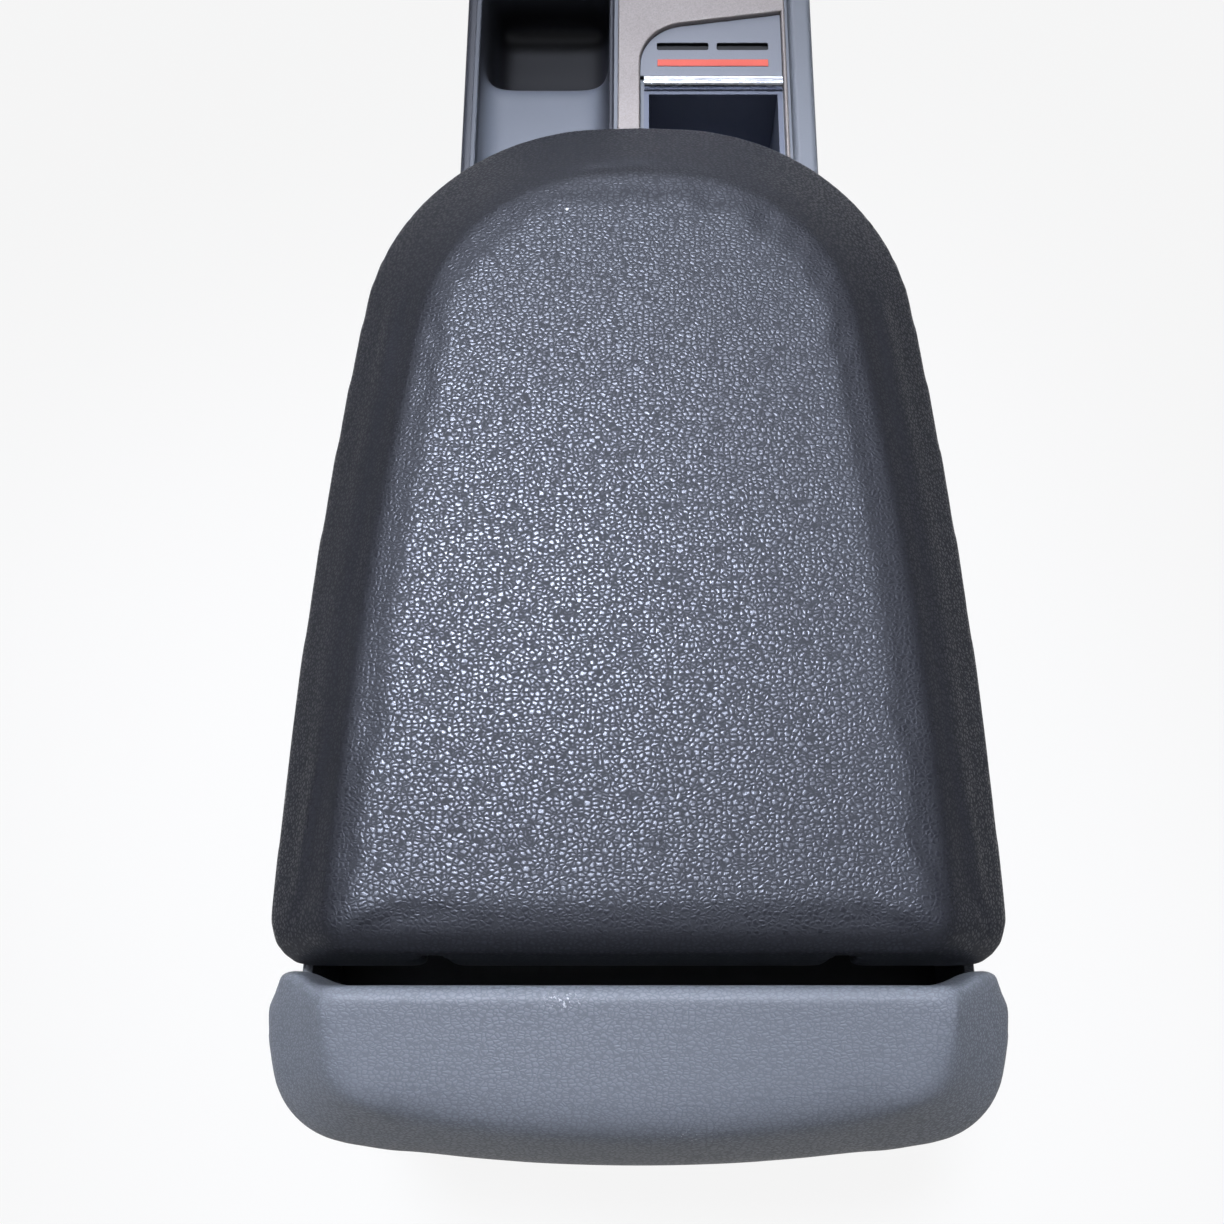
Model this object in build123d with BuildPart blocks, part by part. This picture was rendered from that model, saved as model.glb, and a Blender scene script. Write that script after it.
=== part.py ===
from build123d import *

import os
from math import cos, radians, sin

os.makedirs("parts", exist_ok=True)

# Car centre armrest: a padded lid, hinged at the rear, on the console section that carries it.
# X is to the right, Y towards the front of the car and Z up from the floor that it stands on.
# All sizes are millimetres.

# Whole object
top_height = 200.0           # lid's top above the floor
wall = 3.0                   # moulded console walls
seat_clearance = 0.2         # between pieces that are set into each other

# Lid, seen from above
lid_length = 301.0
lid_width = 225.0            # across the lower edge at the rear
lid_front_width = 176.0      # across the lower edge where sides and front would meet
lid_thickness = 35.0
lid_side_bulge = 6.0
lid_front_bulge = 15.0
lid_front_radius = 86.0
lid_band = 6.0               # upright band below the sloping facets
facet_side = 24.0            # width of a side facet, seen from above
facet_front = 42.0           # length of the front facet, seen from above
facet_rear = 4.0             # lean of the rear face
crease_radius = 9.0
shoulder_radius = 8.0
lid_rear_radius = 14.0       # rear corners, seen from above
lid_lower_radius = 2.4

# Inside the lid
pad_wall = 5.0
pad_top = 8.0
frame_wall = 2.5
liner_thickness = 2.5
liner_rear = 30.0            # liner's rear edge ahead of the lid's rear edge
rib_thickness = 2.0
rib_height = 7.0
rib_offset = 30.0            # long ribs from the centre line
rib_first = 90.0             # cross ribs ahead of the lid's rear edge
rib_second = 180.0
rib_span = 140.0
boss_radius = 4.0

# Rear cap behind the lid
cap_length = 53.0
cap_height = 80.0            # cap's lower edge below the lid's top
cap_slope = 18.0             # fall of the cap's top towards the rear, degrees
cap_crown = 1.0              # cap's front edge above the lid's top, before rounding
cap_bulge = 11.0
cap_taper = 2.5
cap_corner_radius = 26.0
cap_facet_rear = 13.0
cap_crease_radius = 2.0
cap_shoulder_radius = 7.0
cap_front_corner = 8.0       # front corners, seen from above
cap_strip = 3.4              # tilted strip along the cap's front edge
cap_strip_drop = 3.0
horn_reach = 4.85            # tip of a front corner's horn ahead of the cap's front edge
horn_inset = 6.4             # tip inside the cap's side
horn_width = 21.0            # horn's inner end inside the cap's side
horn_bulge = 1.3             # bulge of the horn's edge that faces the lid
horn_drop = 1.6              # horn's top below the side facet
horn_side = 2.6              # horn's root inside the cap's side
horn_back = 5.5              # horn's root behind the cap's front edge
horn_radius = 3.0
lid_gap = 5.5                # between the cap and the lid

# Hinge
hinge_back = 18.0            # axis ahead of the lid's rear edge
hinge_down = 17.5            # axis below the lid's top
hinge_pin_radius = 2.5
hinge_bush_radius = 3.8
ear_spacing = 120.0
ear_thickness = 4.0
ear_radius = 6.2
ear_side_clearance = 1.5
ear_swing_clearance = 0.8
knuckle_radius = 5.6
knuckle_length = 8.0
pin_end = 2.0                # pin beyond the outer knuckles
pin_cap_wall = 1.8
pin_cap_length = 2.4
pin_cap_gap = 0.3
running_clearance = 0.05
bracket_thickness = 3.0
bracket_drop = 10.5          # bracket's plate below the rim's top
bracket_height = 32.0
rivet_inner = 20.0           # bracket rivets from the centre line
rivet_outer = 45.0

# Storage bin and the rim that the lid closes on
rim_drop = 4.5               # rim's top below the lid's underside
rim_thickness = 3.0
bin_wall = 2.5
bin_floor = 57.0             # bin's underside above the floor
bin_rear_gap = 34.0          # bin's rear wall ahead of the lid's rear edge
bin_front_gap = 64.0         # bin's front wall behind the lid's front edge
bin_rear_width = 168.0
bin_front_width = 124.0
bin_corner_radius = 18.0
bin_lip = 3.0
bin_lip_thickness = 1.5
nose_overhang = 29.0         # lid's front edge ahead of the rim's front edge
mat_thickness = 2.0

# Console walls, seen from above
side_setback = 8.0           # walls inside the lid's lower edge at the rear
waist_width = 201.0
waist_gap = 126.0            # waist behind the lid's front edge
neck_gap = 49.0              # neck behind the lid's front edge
deck_width = 145.6
deck_length = 135.0
console_bend_radius = 100.0

# Deck ahead of the lid
deck_drop = 35.0             # deck's top below the lid's underside
rail_width = 9.6
rail_height = 4.0
rail_radius = 2.5
deck_edge_radius = 2.4
trim_left = -8.6
trim_leg_width = 9.2
trim_thin_leg = 1.6
trim_height = 4.0
trim_corner_radius = 20.0
trim_corner_reach = 78.5     # trim's inner corner ahead of the lid's front edge
trim_rise = 8.5
trim_edge_radius = 0.7
trim_front_margin = 5.0
pocket_left = 2.3
pocket_right = 59.8
pocket_reach = 50.0          # pocket's front wall ahead of the lid's front edge
pocket_depth = 55.0
pocket_wall = 2.0
chrome_width = 5.6
chrome_height = 3.4
coin_panel_height = 2.0
coin_slot_length = 21.7
coin_slot_width = 3.8
coin_slot_reach = 70.5
coin_slot_gap = 3.4
coin_slot_depth = 1.6
accent_length = 46.3
accent_width = 3.4
accent_reach = 62.0
accent_depth = 1.2
accent_proud = 0.3
tray_left = -69.0
tray_right = -10.2
tray_wall = 2.2
tray_shelf_drop = 12.0
tray_depth = 50.0
tray_shelf_reach = 61.0      # end of the tray's shelf ahead of the lid's front edge
tray_fall_length = 13.0
tray_front_margin = 11.0
tray_bend_radius = 12.0
tray_corner_radius = 6.0

# Latch under the lid's front edge
latch_back = 50.0            # latch axis behind the lid's front edge
latch_up = 9.0               # latch axis above the lid's underside
latch_pin_radius = 2.0
latch_hub_radius = 4.5
latch_hub_length = 6.0
latch_width = 50.0
latch_front_gap = 16.0       # paddle's front edge behind the lid's front edge
paddle_thickness = 3.0
paddle_corner_radius = 6.0
hook_width = 18.0
hook_thickness = 6.0
hook_toe = 4.5
hook_toe_height = 4.0
hook_clearance = 0.4
striker_thickness = 1.5
striker_overlap = 2.2
striker_margin = 13.0        # striker beyond the hook at each side
striker_edge = 4.0
striker_window_margin = 3.0
rim_window_margin = 5.0
latch_opening_gap = 1.0
lug_thickness = 4.0
spring_radius = 3.4

# Fasteners, feet and buffers, their rows measured from the lid's rear edge
liner_screw_rear = 48.0
liner_screw_middle = 140.0
liner_screw_front = 222.0
liner_screw_rear_x = 78.0
liner_screw_middle_x = 70.0
liner_screw_front_x = 52.0
buffer_rear = 50.0
buffer_front = 208.0
buffer_rear_x = 95.0
buffer_front_x = 77.0
screw_radius = 1.5
screw_head_radius = 3.2
screw_head_height = 1.4
screw_length = 12.0
rivet_radius = 2.4
rivet_head_radius = 4.4
rivet_head_height = 1.6
fastener_clearance = 0.05
buffer_radius = 5.0
buffer_clearance = 0.3
foot_thickness = 2.0
foot_width = 28.0
foot_inner = 20.0
foot_web = 36.0
foot_outer = 62.0
foot_hole_radius = 3.3
bolt_spacing_x = 100.0
bolt_spacing_y = 150.0
foot_rivet_x = 28.0

# Positions worked out from the sizes above
overall_length = cap_length + lid_gap + lid_length + deck_length
rear_y = -overall_length / 2
cap_front_y = rear_y + cap_length
lid_rear_y = cap_front_y + lid_gap
lid_front_y = lid_rear_y + lid_length
front_y = lid_front_y + deck_length
lid_bottom = top_height - lid_thickness
lid_shoulder = lid_bottom + lid_band
cap_base = top_height - cap_height
console_width = lid_width - 2 * side_setback
frame_floor = lid_bottom + liner_thickness
frame_ceiling = top_height - pad_top - frame_wall
hinge_y = lid_rear_y + hinge_back
hinge_z = top_height - hinge_down
rim_top = lid_bottom - rim_drop
rim_underside = rim_top - rim_thickness
bracket_top = rim_top - bracket_drop
bracket_bottom = bracket_top - bracket_height
bin_rear_y = lid_rear_y + bin_rear_gap
bin_front_y = lid_front_y - bin_front_gap
step_y = lid_front_y - nose_overhang
deck_top = lid_bottom - deck_drop
deck_underside = deck_top - wall
pocket_front_y = lid_front_y + pocket_reach
tray_front_y = front_y - tray_front_margin
coin_panel_y = pocket_front_y + chrome_width
trim_right = pocket_right + seat_clearance + trim_thin_leg
latch_y = lid_front_y - latch_back
latch_z = lid_bottom + latch_up
paddle_front_y = lid_front_y - latch_front_gap
hook_rear_y = latch_y - hook_thickness / 2
toe_top = rim_underside - striker_thickness - hook_clearance
tilt = radians(cap_slope)
bolt_y = (bin_rear_y + bin_front_y) / 2


def lid_outline(side, nose, tail):
    """Draw the lid's plan, moved in from its lower edge at the sides, the front and the rear."""
    half_rear = lid_width / 2 - side
    half_front = lid_front_width / 2 - side
    rear = lid_rear_y + tail
    front = lid_front_y - nose
    corner = front - lid_front_bulge
    half_middle = (half_rear + half_front) / 2 + lid_side_bulge
    middle = (lid_rear_y + corner) / 2
    with BuildSketch(mode=Mode.PRIVATE) as outline:
        with BuildLine():
            Line((-half_rear, rear), (half_rear, rear))
            ThreePointArc((half_rear, rear), (half_middle, middle), (half_front, corner))
            ThreePointArc((half_front, corner), (0, front), (-half_front, corner))
            ThreePointArc((-half_front, corner), (-half_middle, middle), (-half_rear, rear))
        make_face()
        fillet(outline.vertices().group_by(Axis.Y)[-1], radius=lid_front_radius - side)
        fillet(outline.vertices().group_by(Axis.Y)[0], radius=lid_rear_radius - tail)
    return outline.sketch


def lid_form(inset, top_inset, floor):
    """Loft the lid's faceted form, drawn in all round by inset and at the top by top_inset."""
    rise = top_height - lid_shoulder
    share = (rise - top_inset) / rise
    with BuildPart() as form:
        with BuildSketch(Plane.XY.offset(floor)):
            add(lid_outline(inset, inset, inset))
        with BuildSketch(Plane.XY.offset(lid_shoulder)):
            add(lid_outline(inset, inset, inset))
        with BuildSketch(Plane.XY.offset(top_height - top_inset)):
            add(lid_outline(inset + facet_side * share, inset + facet_front * share, inset + facet_rear * share))
        loft(ruled=True)
    return form.part


def cap_outline(side, front, rear, stretch):
    """Draw the cap's plan from its front edge, stretched along Y for a sloping plane."""
    half_front = lid_width / 2 - side
    half_rear = half_front - cap_taper
    front_edge = -front * stretch
    rear_edge = (rear - cap_length) * stretch
    corner = rear_edge + cap_bulge * stretch
    with BuildSketch(mode=Mode.PRIVATE) as outline:
        with BuildLine():
            Line((-half_front, front_edge), (half_front, front_edge))
            Line((half_front, front_edge), (half_rear, corner))
            ThreePointArc((half_rear, corner), (0, rear_edge), (-half_rear, corner))
            Line((-half_rear, corner), (-half_front, front_edge))
        make_face()
        fillet(outline.vertices().group_by(Axis.Y)[0], radius=cap_corner_radius - side / 2)
        fillet(outline.vertices().group_by(Axis.Y)[-1], radius=cap_front_corner - side / 8)
    return outline.sketch


def cap_plane(height):
    """Place a plane that falls to the rear from the cap's front edge at a height."""
    return Plane(origin=(0, cap_front_y, height), x_dir=(1, 0, 0), z_dir=(0, -sin(tilt), cos(tilt)))


def cap_form(inset, base):
    """Loft the cap's faceted form with the tilted strip at its front, drawn in all round by inset."""
    stretch = 1 / cos(tilt)
    top = top_height + cap_crown
    share = 1 - cap_strip_drop / (top - lid_shoulder)
    with BuildPart() as form:
        with BuildSketch(Plane((0, cap_front_y, base))):
            add(cap_outline(inset, inset, inset, 1))
        with BuildSketch(cap_plane(lid_shoulder - inset / 2)):
            add(cap_outline(inset, inset, inset, stretch))
        with BuildSketch(cap_plane(top - cap_strip_drop - inset)):
            add(cap_outline(inset + facet_side * share, inset, inset + cap_facet_rear * share, stretch))
        with BuildSketch(cap_plane(top - inset)):
            add(cap_outline(inset + facet_side, inset + cap_strip, inset + cap_facet_rear, stretch))
        loft(ruled=True)
    return form.part


def console_outline(inset):
    """Draw the plan of the console's outer walls, drawn in sideways by inset."""
    half_rear = console_width / 2 - inset
    half_waist = waist_width / 2 - inset
    half_front = deck_width / 2 - inset
    waist_y = lid_front_y - waist_gap
    neck_y = lid_front_y - neck_gap
    with BuildSketch(mode=Mode.PRIVATE) as outline:
        with BuildLine():
            Polyline(
                (-half_rear, cap_front_y),
                (half_rear, cap_front_y),
                (half_waist, waist_y),
                (half_front, neck_y),
                (half_front, front_y),
                (-half_front, front_y),
                (-half_front, neck_y),
                (-half_waist, waist_y),
                close=True,
            )
        make_face()
        bends = outline.vertices().filter_by_position(Axis.Y, waist_y - 1, neck_y + 1)
        fillet(bends, radius=console_bend_radius)
    return outline.sketch


def bin_outline(inset):
    """Draw the storage bin's plan, drawn in all round by inset."""
    half_rear = bin_rear_width / 2 - inset
    half_front = bin_front_width / 2 - inset
    rear = bin_rear_y + inset
    front = bin_front_y - inset
    with BuildSketch(mode=Mode.PRIVATE) as outline:
        with BuildLine():
            Polyline((-half_rear, rear), (half_rear, rear), (half_front, front), (-half_front, front), close=True)
        make_face()
        fillet(outline.vertices(), radius=bin_corner_radius - inset)
    return outline.sketch


def coin_outline(inset):
    """Draw the opening in the trim for the coin panel and pocket, drawn in by inset."""
    left = trim_left + trim_leg_width + inset
    right = trim_right - trim_thin_leg - inset
    corner = lid_front_y + trim_corner_reach - inset
    with BuildSketch(mode=Mode.PRIVATE) as outline:
        with BuildLine():
            Polyline((left, step_y), (right, step_y), (right, corner + trim_rise), (left, corner), close=True)
        make_face()
        bend = outline.vertices().filter_by_position(Axis.Y, corner - 0.1, corner + 0.1)
        fillet(bend, radius=trim_corner_radius - inset)
    return outline.sketch


def tray_form(inset):
    """Form the tray's shelf, fall and well, drawn in all round by inset and open upwards."""
    rear = step_y + wall
    shelf_y = lid_front_y + tray_shelf_reach
    fall_y = shelf_y + tray_fall_length
    brim = deck_top + 2 * inset
    with BuildPart() as form:
        with BuildSketch(Plane.YZ.offset(tray_left + inset)) as profile:
            with BuildLine():
                Polyline(
                    (rear, brim),
                    (rear, deck_top - tray_shelf_drop),
                    (shelf_y, deck_top - tray_shelf_drop),
                    (fall_y, deck_top - tray_depth),
                    (tray_front_y, deck_top - tray_depth),
                    (tray_front_y, brim),
                    close=True,
                )
            make_face()
            fillet(profile.vertices().filter_by_position(Axis.X, shelf_y - 1, fall_y + 1), radius=tray_bend_radius)
            offset(amount=-inset)
        extrude(amount=tray_right - tray_left - 2 * inset)
        bends = form.faces().filter_by(Axis.X).edges().filter_by(
            lambda edge: edge.position_at(0.5).Z < deck_top - seat_clearance
        )
        fillet(bends, radius=tray_corner_radius - inset)
    return form.part


# Places that several pieces share
ear_spots = [-ear_spacing / 2, ear_spacing / 2]
ear_slot_width = ear_thickness + 2 * ear_side_clearance
knuckle_step = (ear_slot_width + knuckle_length) / 2
knuckle_spots = [x + side * knuckle_step for x in ear_spots for side in (-1, 1)]
ear_slot_front = hinge_y + ear_radius + ear_swing_clearance
ear_slot_top = hinge_z + ear_radius + ear_swing_clearance
ear_slot_length = ear_slot_front - lid_rear_y + wall
ear_slot_height = ear_slot_top - lid_bottom + wall
ear_slots = [(x, ear_slot_front - ear_slot_length / 2, ear_slot_top - ear_slot_height / 2) for x in ear_spots]
liner_screw_spots = [
    (side * x, lid_rear_y + y)
    for x, y in (
        (liner_screw_rear_x, liner_screw_rear),
        (liner_screw_middle_x, liner_screw_middle),
        (liner_screw_front_x, liner_screw_front),
    )
    for side in (-1, 1)
]
buffer_spots = [
    (side * x, lid_rear_y + y)
    for x, y in ((buffer_rear_x, buffer_rear), (buffer_front_x, buffer_front))
    for side in (-1, 1)
]
rivet_spots = [-rivet_outer, -rivet_inner, rivet_inner, rivet_outer]
rivet_z = (bracket_top + bracket_bottom) / 2
foot_spots = [bolt_y - bolt_spacing_y / 2, bolt_y + bolt_spacing_y / 2]
latch_opening_rear = hook_rear_y - hook_toe - latch_opening_gap
latch_opening_length = paddle_front_y + latch_opening_gap - latch_opening_rear
latch_opening = (0, latch_opening_rear + latch_opening_length / 2)
latch_lugs = [side * (latch_width / 2 + latch_opening_gap + lug_thickness / 2) for side in (-1, 1)]

# Forms that the lid and the cap are cut from
pad_form = lid_form(0, 0, lid_bottom)
pad_cavity = lid_form(pad_wall, pad_top, lid_bottom - wall)
frame_form = lid_form(pad_wall + seat_clearance, pad_top + seat_clearance, frame_floor)
frame_cavity = lid_form(pad_wall + frame_wall, pad_top + frame_wall, frame_floor - wall)
cap_solid = cap_form(0, cap_base)
cap_cavity = cap_form(wall, cap_base - wall)

# Lid: padded skin
with BuildPart() as lid_pad:
    add(pad_form)
    fillet(lid_pad.faces().sort_by(Axis.Z)[-1].edges(), radius=crease_radius)
    shoulder = lid_pad.edges().filter_by_position(Axis.Z, lid_shoulder - 0.1, lid_shoulder + 0.1)
    fillet(shoulder, radius=shoulder_radius)
    fillet(lid_pad.faces().sort_by(Axis.Z)[0].edges(), radius=lid_lower_radius)
    add(pad_cavity, mode=Mode.SUBTRACT)
    with Locations(*ear_slots):
        Box(ear_slot_width, ear_slot_length, ear_slot_height, mode=Mode.SUBTRACT)
lid_pad.part.label = "lid_pad"
export_step(lid_pad.part, "parts/lid_pad.step")

# Lid: ribbed frame under the pad, with knuckles for the hinge pin and lugs for the latch pin
with BuildPart() as lid_frame:
    add(frame_form)
    add(frame_cavity, mode=Mode.SUBTRACT)
    rib_z = frame_ceiling - rib_height / 2
    rib_rear = lid_rear_y + liner_rear
    rib_front = lid_front_y - facet_front - pad_wall
    rib_middle = (rib_rear + rib_front) / 2
    with Locations((-rib_offset, rib_middle, rib_z), (rib_offset, rib_middle, rib_z)):
        Box(rib_thickness, rib_front - rib_rear, rib_height)
    with Locations((0, lid_rear_y + rib_first, rib_z), (0, lid_rear_y + rib_second, rib_z)):
        Box(rib_span, rib_thickness, rib_height)
    with Locations(*[(x, y, frame_floor) for x, y in liner_screw_spots]):
        Cylinder(boss_radius, frame_ceiling - frame_floor, align=(Align.CENTER, Align.CENTER, Align.MIN))
    floor_rear = lid_rear_y + pad_wall + frame_wall
    floor_front = lid_rear_y + liner_rear - seat_clearance
    with Locations((0, (floor_rear + floor_front) / 2, frame_floor + frame_wall / 2)):
        Box(lid_width - 2 * (pad_wall + frame_wall), floor_front - floor_rear, frame_wall)
    with Locations(*[Location((x, hinge_y, hinge_z), (0, 90, 0)) for x in knuckle_spots]):
        Cylinder(knuckle_radius, knuckle_length)
    with Locations(*[(x, hinge_y, hinge_z) for x in knuckle_spots]):
        Box(
            knuckle_length, 2 * knuckle_radius, frame_ceiling - hinge_z,
            align=(Align.CENTER, Align.CENTER, Align.MIN),
        )
    with Locations(*[(x, latch_y, latch_z - latch_hub_radius) for x in latch_lugs]):
        Box(
            lug_thickness, 2 * latch_hub_radius, frame_ceiling - latch_z + latch_hub_radius,
            align=(Align.CENTER, Align.CENTER, Align.MIN),
        )
    with Locations(*ear_slots):
        Box(ear_slot_width, ear_slot_length, ear_slot_height, mode=Mode.SUBTRACT)
    with Locations(Location((0, hinge_y, hinge_z), (0, 90, 0))):
        Cylinder(hinge_pin_radius + running_clearance, lid_width / 2 + ear_spacing / 2, mode=Mode.SUBTRACT)
    with Locations(Location((0, latch_y, latch_z), (0, 90, 0))):
        Cylinder(latch_pin_radius + running_clearance, 2 * latch_width, mode=Mode.SUBTRACT)
    with Locations(*[(x, y, frame_floor) for x, y in liner_screw_spots]):
        Cylinder(screw_radius + fastener_clearance, 2 * screw_length, mode=Mode.SUBTRACT)
lid_frame.part.label = "lid_frame"
export_step(lid_frame.part, "parts/lid_frame.step")

# Lid: flat liner that closes the frame from below
with BuildPart() as lid_liner:
    liner_inset = pad_wall + seat_clearance
    with BuildSketch(Plane.XY.offset(lid_bottom)):
        add(lid_outline(liner_inset, liner_inset, liner_inset))
        with Locations((0, lid_rear_y + liner_rear)):
            Rectangle(lid_width, lid_length, align=(Align.CENTER, Align.MIN), mode=Mode.INTERSECT)
        with Locations(latch_opening):
            Rectangle(latch_width + 2 * latch_opening_gap, latch_opening_length, mode=Mode.SUBTRACT)
    extrude(amount=liner_thickness)
    with Locations(*[(x, y, lid_bottom) for x, y in liner_screw_spots]):
        Cylinder(screw_radius + fastener_clearance, 2 * wall, mode=Mode.SUBTRACT)
        Cylinder(screw_head_radius + seat_clearance, 2 * screw_head_height, mode=Mode.SUBTRACT)
lid_liner.part.label = "lid_liner"
export_step(lid_liner.part, "parts/lid_liner.step")

# Lid: pan-head screws of the liner
with BuildPart() as liner_screws:
    with Locations(*[(x, y, lid_bottom) for x, y in liner_screw_spots]):
        Cylinder(screw_head_radius, screw_head_height, align=(Align.CENTER, Align.CENTER, Align.MIN))
        Cylinder(screw_radius, screw_length, align=(Align.CENTER, Align.CENTER, Align.MIN))
liner_screws.part.label = "liner_screws"
export_step(liner_screws.part, "parts/liner_screws.step")

# Lid: rubber buffers that rest on the bin's rim
with BuildPart() as lid_buffers:
    buffer_bottom = rim_top + buffer_clearance
    with BuildSketch(Plane.XY.offset(buffer_bottom)):
        with Locations(*buffer_spots):
            Circle(buffer_radius)
    extrude(amount=lid_bottom - buffer_bottom)
    fillet(lid_buffers.faces().group_by(Axis.Z)[0].edges(), radius=buffer_radius / 4)
lid_buffers.part.label = "lid_buffers"
export_step(lid_buffers.part, "parts/lid_buffers.step")

# Lid: hinge pin through the frame's knuckles and the bracket's ears
hinge_pin_length = ear_spacing + ear_slot_width + 2 * knuckle_length
with BuildPart() as hinge_pin:
    with Locations(Location((0, hinge_y, hinge_z), (0, 90, 0))):
        Cylinder(hinge_pin_radius, hinge_pin_length + 2 * pin_end)
hinge_pin.part.label = "hinge_pin"
export_step(hinge_pin.part, "parts/hinge_pin.step")

# Lid: push-on caps that keep the hinge pin in place
with BuildPart() as pin_caps:
    for side in (-1, 1):
        cap_x = side * (hinge_pin_length / 2 + pin_cap_gap + pin_cap_length / 2)
        with Locations(Location((cap_x, hinge_y, hinge_z), (0, 90, 0))):
            Cylinder(hinge_pin_radius + pin_cap_wall, pin_cap_length)
            Cylinder(hinge_pin_radius + fastener_clearance, 2 * pin_cap_length, mode=Mode.SUBTRACT)
pin_caps.part.label = "pin_caps"
export_step(pin_caps.part, "parts/pin_caps.step")

# Latch: paddle, hubs and hook in one moulding
with BuildPart() as latch_lever:
    paddle_rear_y = latch_y - latch_hub_radius
    with Locations((0, (paddle_rear_y + paddle_front_y) / 2, lid_bottom + paddle_thickness / 2)):
        Box(latch_width, paddle_front_y - paddle_rear_y, paddle_thickness)
    fillet(latch_lever.edges().filter_by(Axis.Z).group_by(Axis.Y)[-1], radius=paddle_corner_radius)
    hub_x = (latch_width - latch_hub_length) / 2
    with Locations(*[Location((x, latch_y, latch_z), (0, 90, 0)) for x in (-hub_x, hub_x)]):
        Cylinder(latch_hub_radius, latch_hub_length)
    with Locations(*[(x, latch_y, lid_bottom) for x in (-hub_x, hub_x)]):
        Box(
            latch_hub_length, 2 * latch_hub_radius, latch_up,
            align=(Align.CENTER, Align.CENTER, Align.MIN),
        )
    hook_bottom = toe_top - hook_toe_height
    with Locations((0, latch_y, hook_bottom)):
        Box(
            hook_width, hook_thickness, lid_bottom + paddle_thickness - hook_bottom,
            align=(Align.CENTER, Align.CENTER, Align.MIN),
        )
    with Locations((0, hook_rear_y, hook_bottom)):
        Box(hook_width, hook_toe, hook_toe_height, align=(Align.CENTER, Align.MAX, Align.MIN))
    toe_edge = latch_lever.edges().filter_by(Axis.X).group_by(Axis.Z)[0].sort_by(Axis.Y)[0]
    chamfer(toe_edge, length=hook_toe_height / 2)
    with Locations(Location((0, latch_y, latch_z), (0, 90, 0))):
        Cylinder(latch_pin_radius + running_clearance, 2 * latch_width, mode=Mode.SUBTRACT)
latch_lever.part.label = "latch_lever"
export_step(latch_lever.part, "parts/latch_lever.step")

# Lid: pin that the latch turns on, held in the frame's lugs
with BuildPart() as latch_pin:
    with Locations(Location((0, latch_y, latch_z), (0, 90, 0))):
        Cylinder(latch_pin_radius, latch_width + 2 * (latch_opening_gap + lug_thickness))
latch_pin.part.label = "latch_pin"
export_step(latch_pin.part, "parts/latch_pin.step")

# Lid: torsion spring, the outer form of its coil on the latch pin
with BuildPart() as latch_spring:
    with Locations(Location((0, latch_y, latch_z), (0, 90, 0))):
        Cylinder(spring_radius, hook_width)
        Cylinder(latch_pin_radius + running_clearance, 2 * hook_width, mode=Mode.SUBTRACT)
latch_spring.part.label = "latch_spring"
export_step(latch_spring.part, "parts/latch_spring.step")

# Console: right wall, stepped down from the bin's rim to the deck, and its mirror image
with BuildPart() as right_side_panel:
    with BuildSketch():
        add(console_outline(0))
        add(console_outline(wall), mode=Mode.SUBTRACT)
        with Locations((0, cap_front_y)):
            Rectangle(
                console_width, front_y - wall - cap_front_y,
                align=(Align.MIN, Align.MIN), mode=Mode.INTERSECT,
            )
    extrude(amount=rim_underside)
    with Locations((0, step_y, deck_underside)):
        Box(
            console_width, deck_length + nose_overhang, rim_top,
            align=(Align.MIN, Align.MIN, Align.MIN), mode=Mode.SUBTRACT,
        )
right_side_panel.part.label = "right_side_panel"
export_step(right_side_panel.part, "parts/right_side_panel.step")

with BuildPart() as left_side_panel:
    mirror(right_side_panel.part, about=Plane.YZ)
left_side_panel.part.label = "left_side_panel"
export_step(left_side_panel.part, "parts/left_side_panel.step")

# Console: plain wall that closes the front
with BuildPart() as front_panel:
    with Locations((0, front_y, 0)):
        Box(deck_width, wall, deck_underside, align=(Align.CENTER, Align.MAX, Align.MIN))
front_panel.part.label = "front_panel"
export_step(front_panel.part, "parts/front_panel.step")

# Console: rear wall below the cap, closed round to the walls ahead of it
with BuildPart() as rear_panel:
    with BuildSketch(Plane((0, cap_front_y, 0))):
        add(cap_outline(0, 0, 0, 1))
        add(cap_outline(wall, wall, wall, 1), mode=Mode.SUBTRACT)
    extrude(amount=cap_base)
rear_panel.part.label = "rear_panel"
export_step(rear_panel.part, "parts/rear_panel.step")

# Form of a horn at the cap's front corner, which carries the side facet on round the lid's rear corner
half_cap = lid_width / 2
horn_tip = (half_cap - horn_inset, cap_front_y + horn_reach)
horn_root = (half_cap - horn_width, cap_front_y)
horn_middle = (half_cap - (horn_inset + horn_width) / 2, cap_front_y + horn_reach / 2 + horn_bulge)
facet_share = 1 - cap_strip_drop / (top_height + cap_crown - lid_shoulder)
facet_rise = (top_height + cap_crown - lid_shoulder) * facet_share
facet_run = facet_side * facet_share
with BuildPart() as cap_horn:
    with BuildSketch(Plane.XY.offset(rim_top)):
        with BuildLine():
            ThreePointArc(horn_tip, horn_middle, horn_root)
            Polyline(
                horn_root,
                (half_cap - horn_width, cap_front_y - wall / 2),
                (half_cap - horn_side, cap_front_y - horn_back),
                horn_tip,
            )
        make_face()
    extrude(amount=top_height - rim_top)
    split(
        bisect_by=Plane(
            origin=(half_cap, cap_front_y, lid_shoulder - horn_drop),
            z_dir=(facet_rise, -facet_run * sin(tilt) / cos(tilt), facet_run),
        ),
        keep=Keep.BOTTOM,
    )
    horn_edge = cap_horn.faces().sort_by(Axis.X)[-1].edges().sort_by(Axis.Z)[-1]
    fillet(horn_edge, radius=horn_radius)

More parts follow.
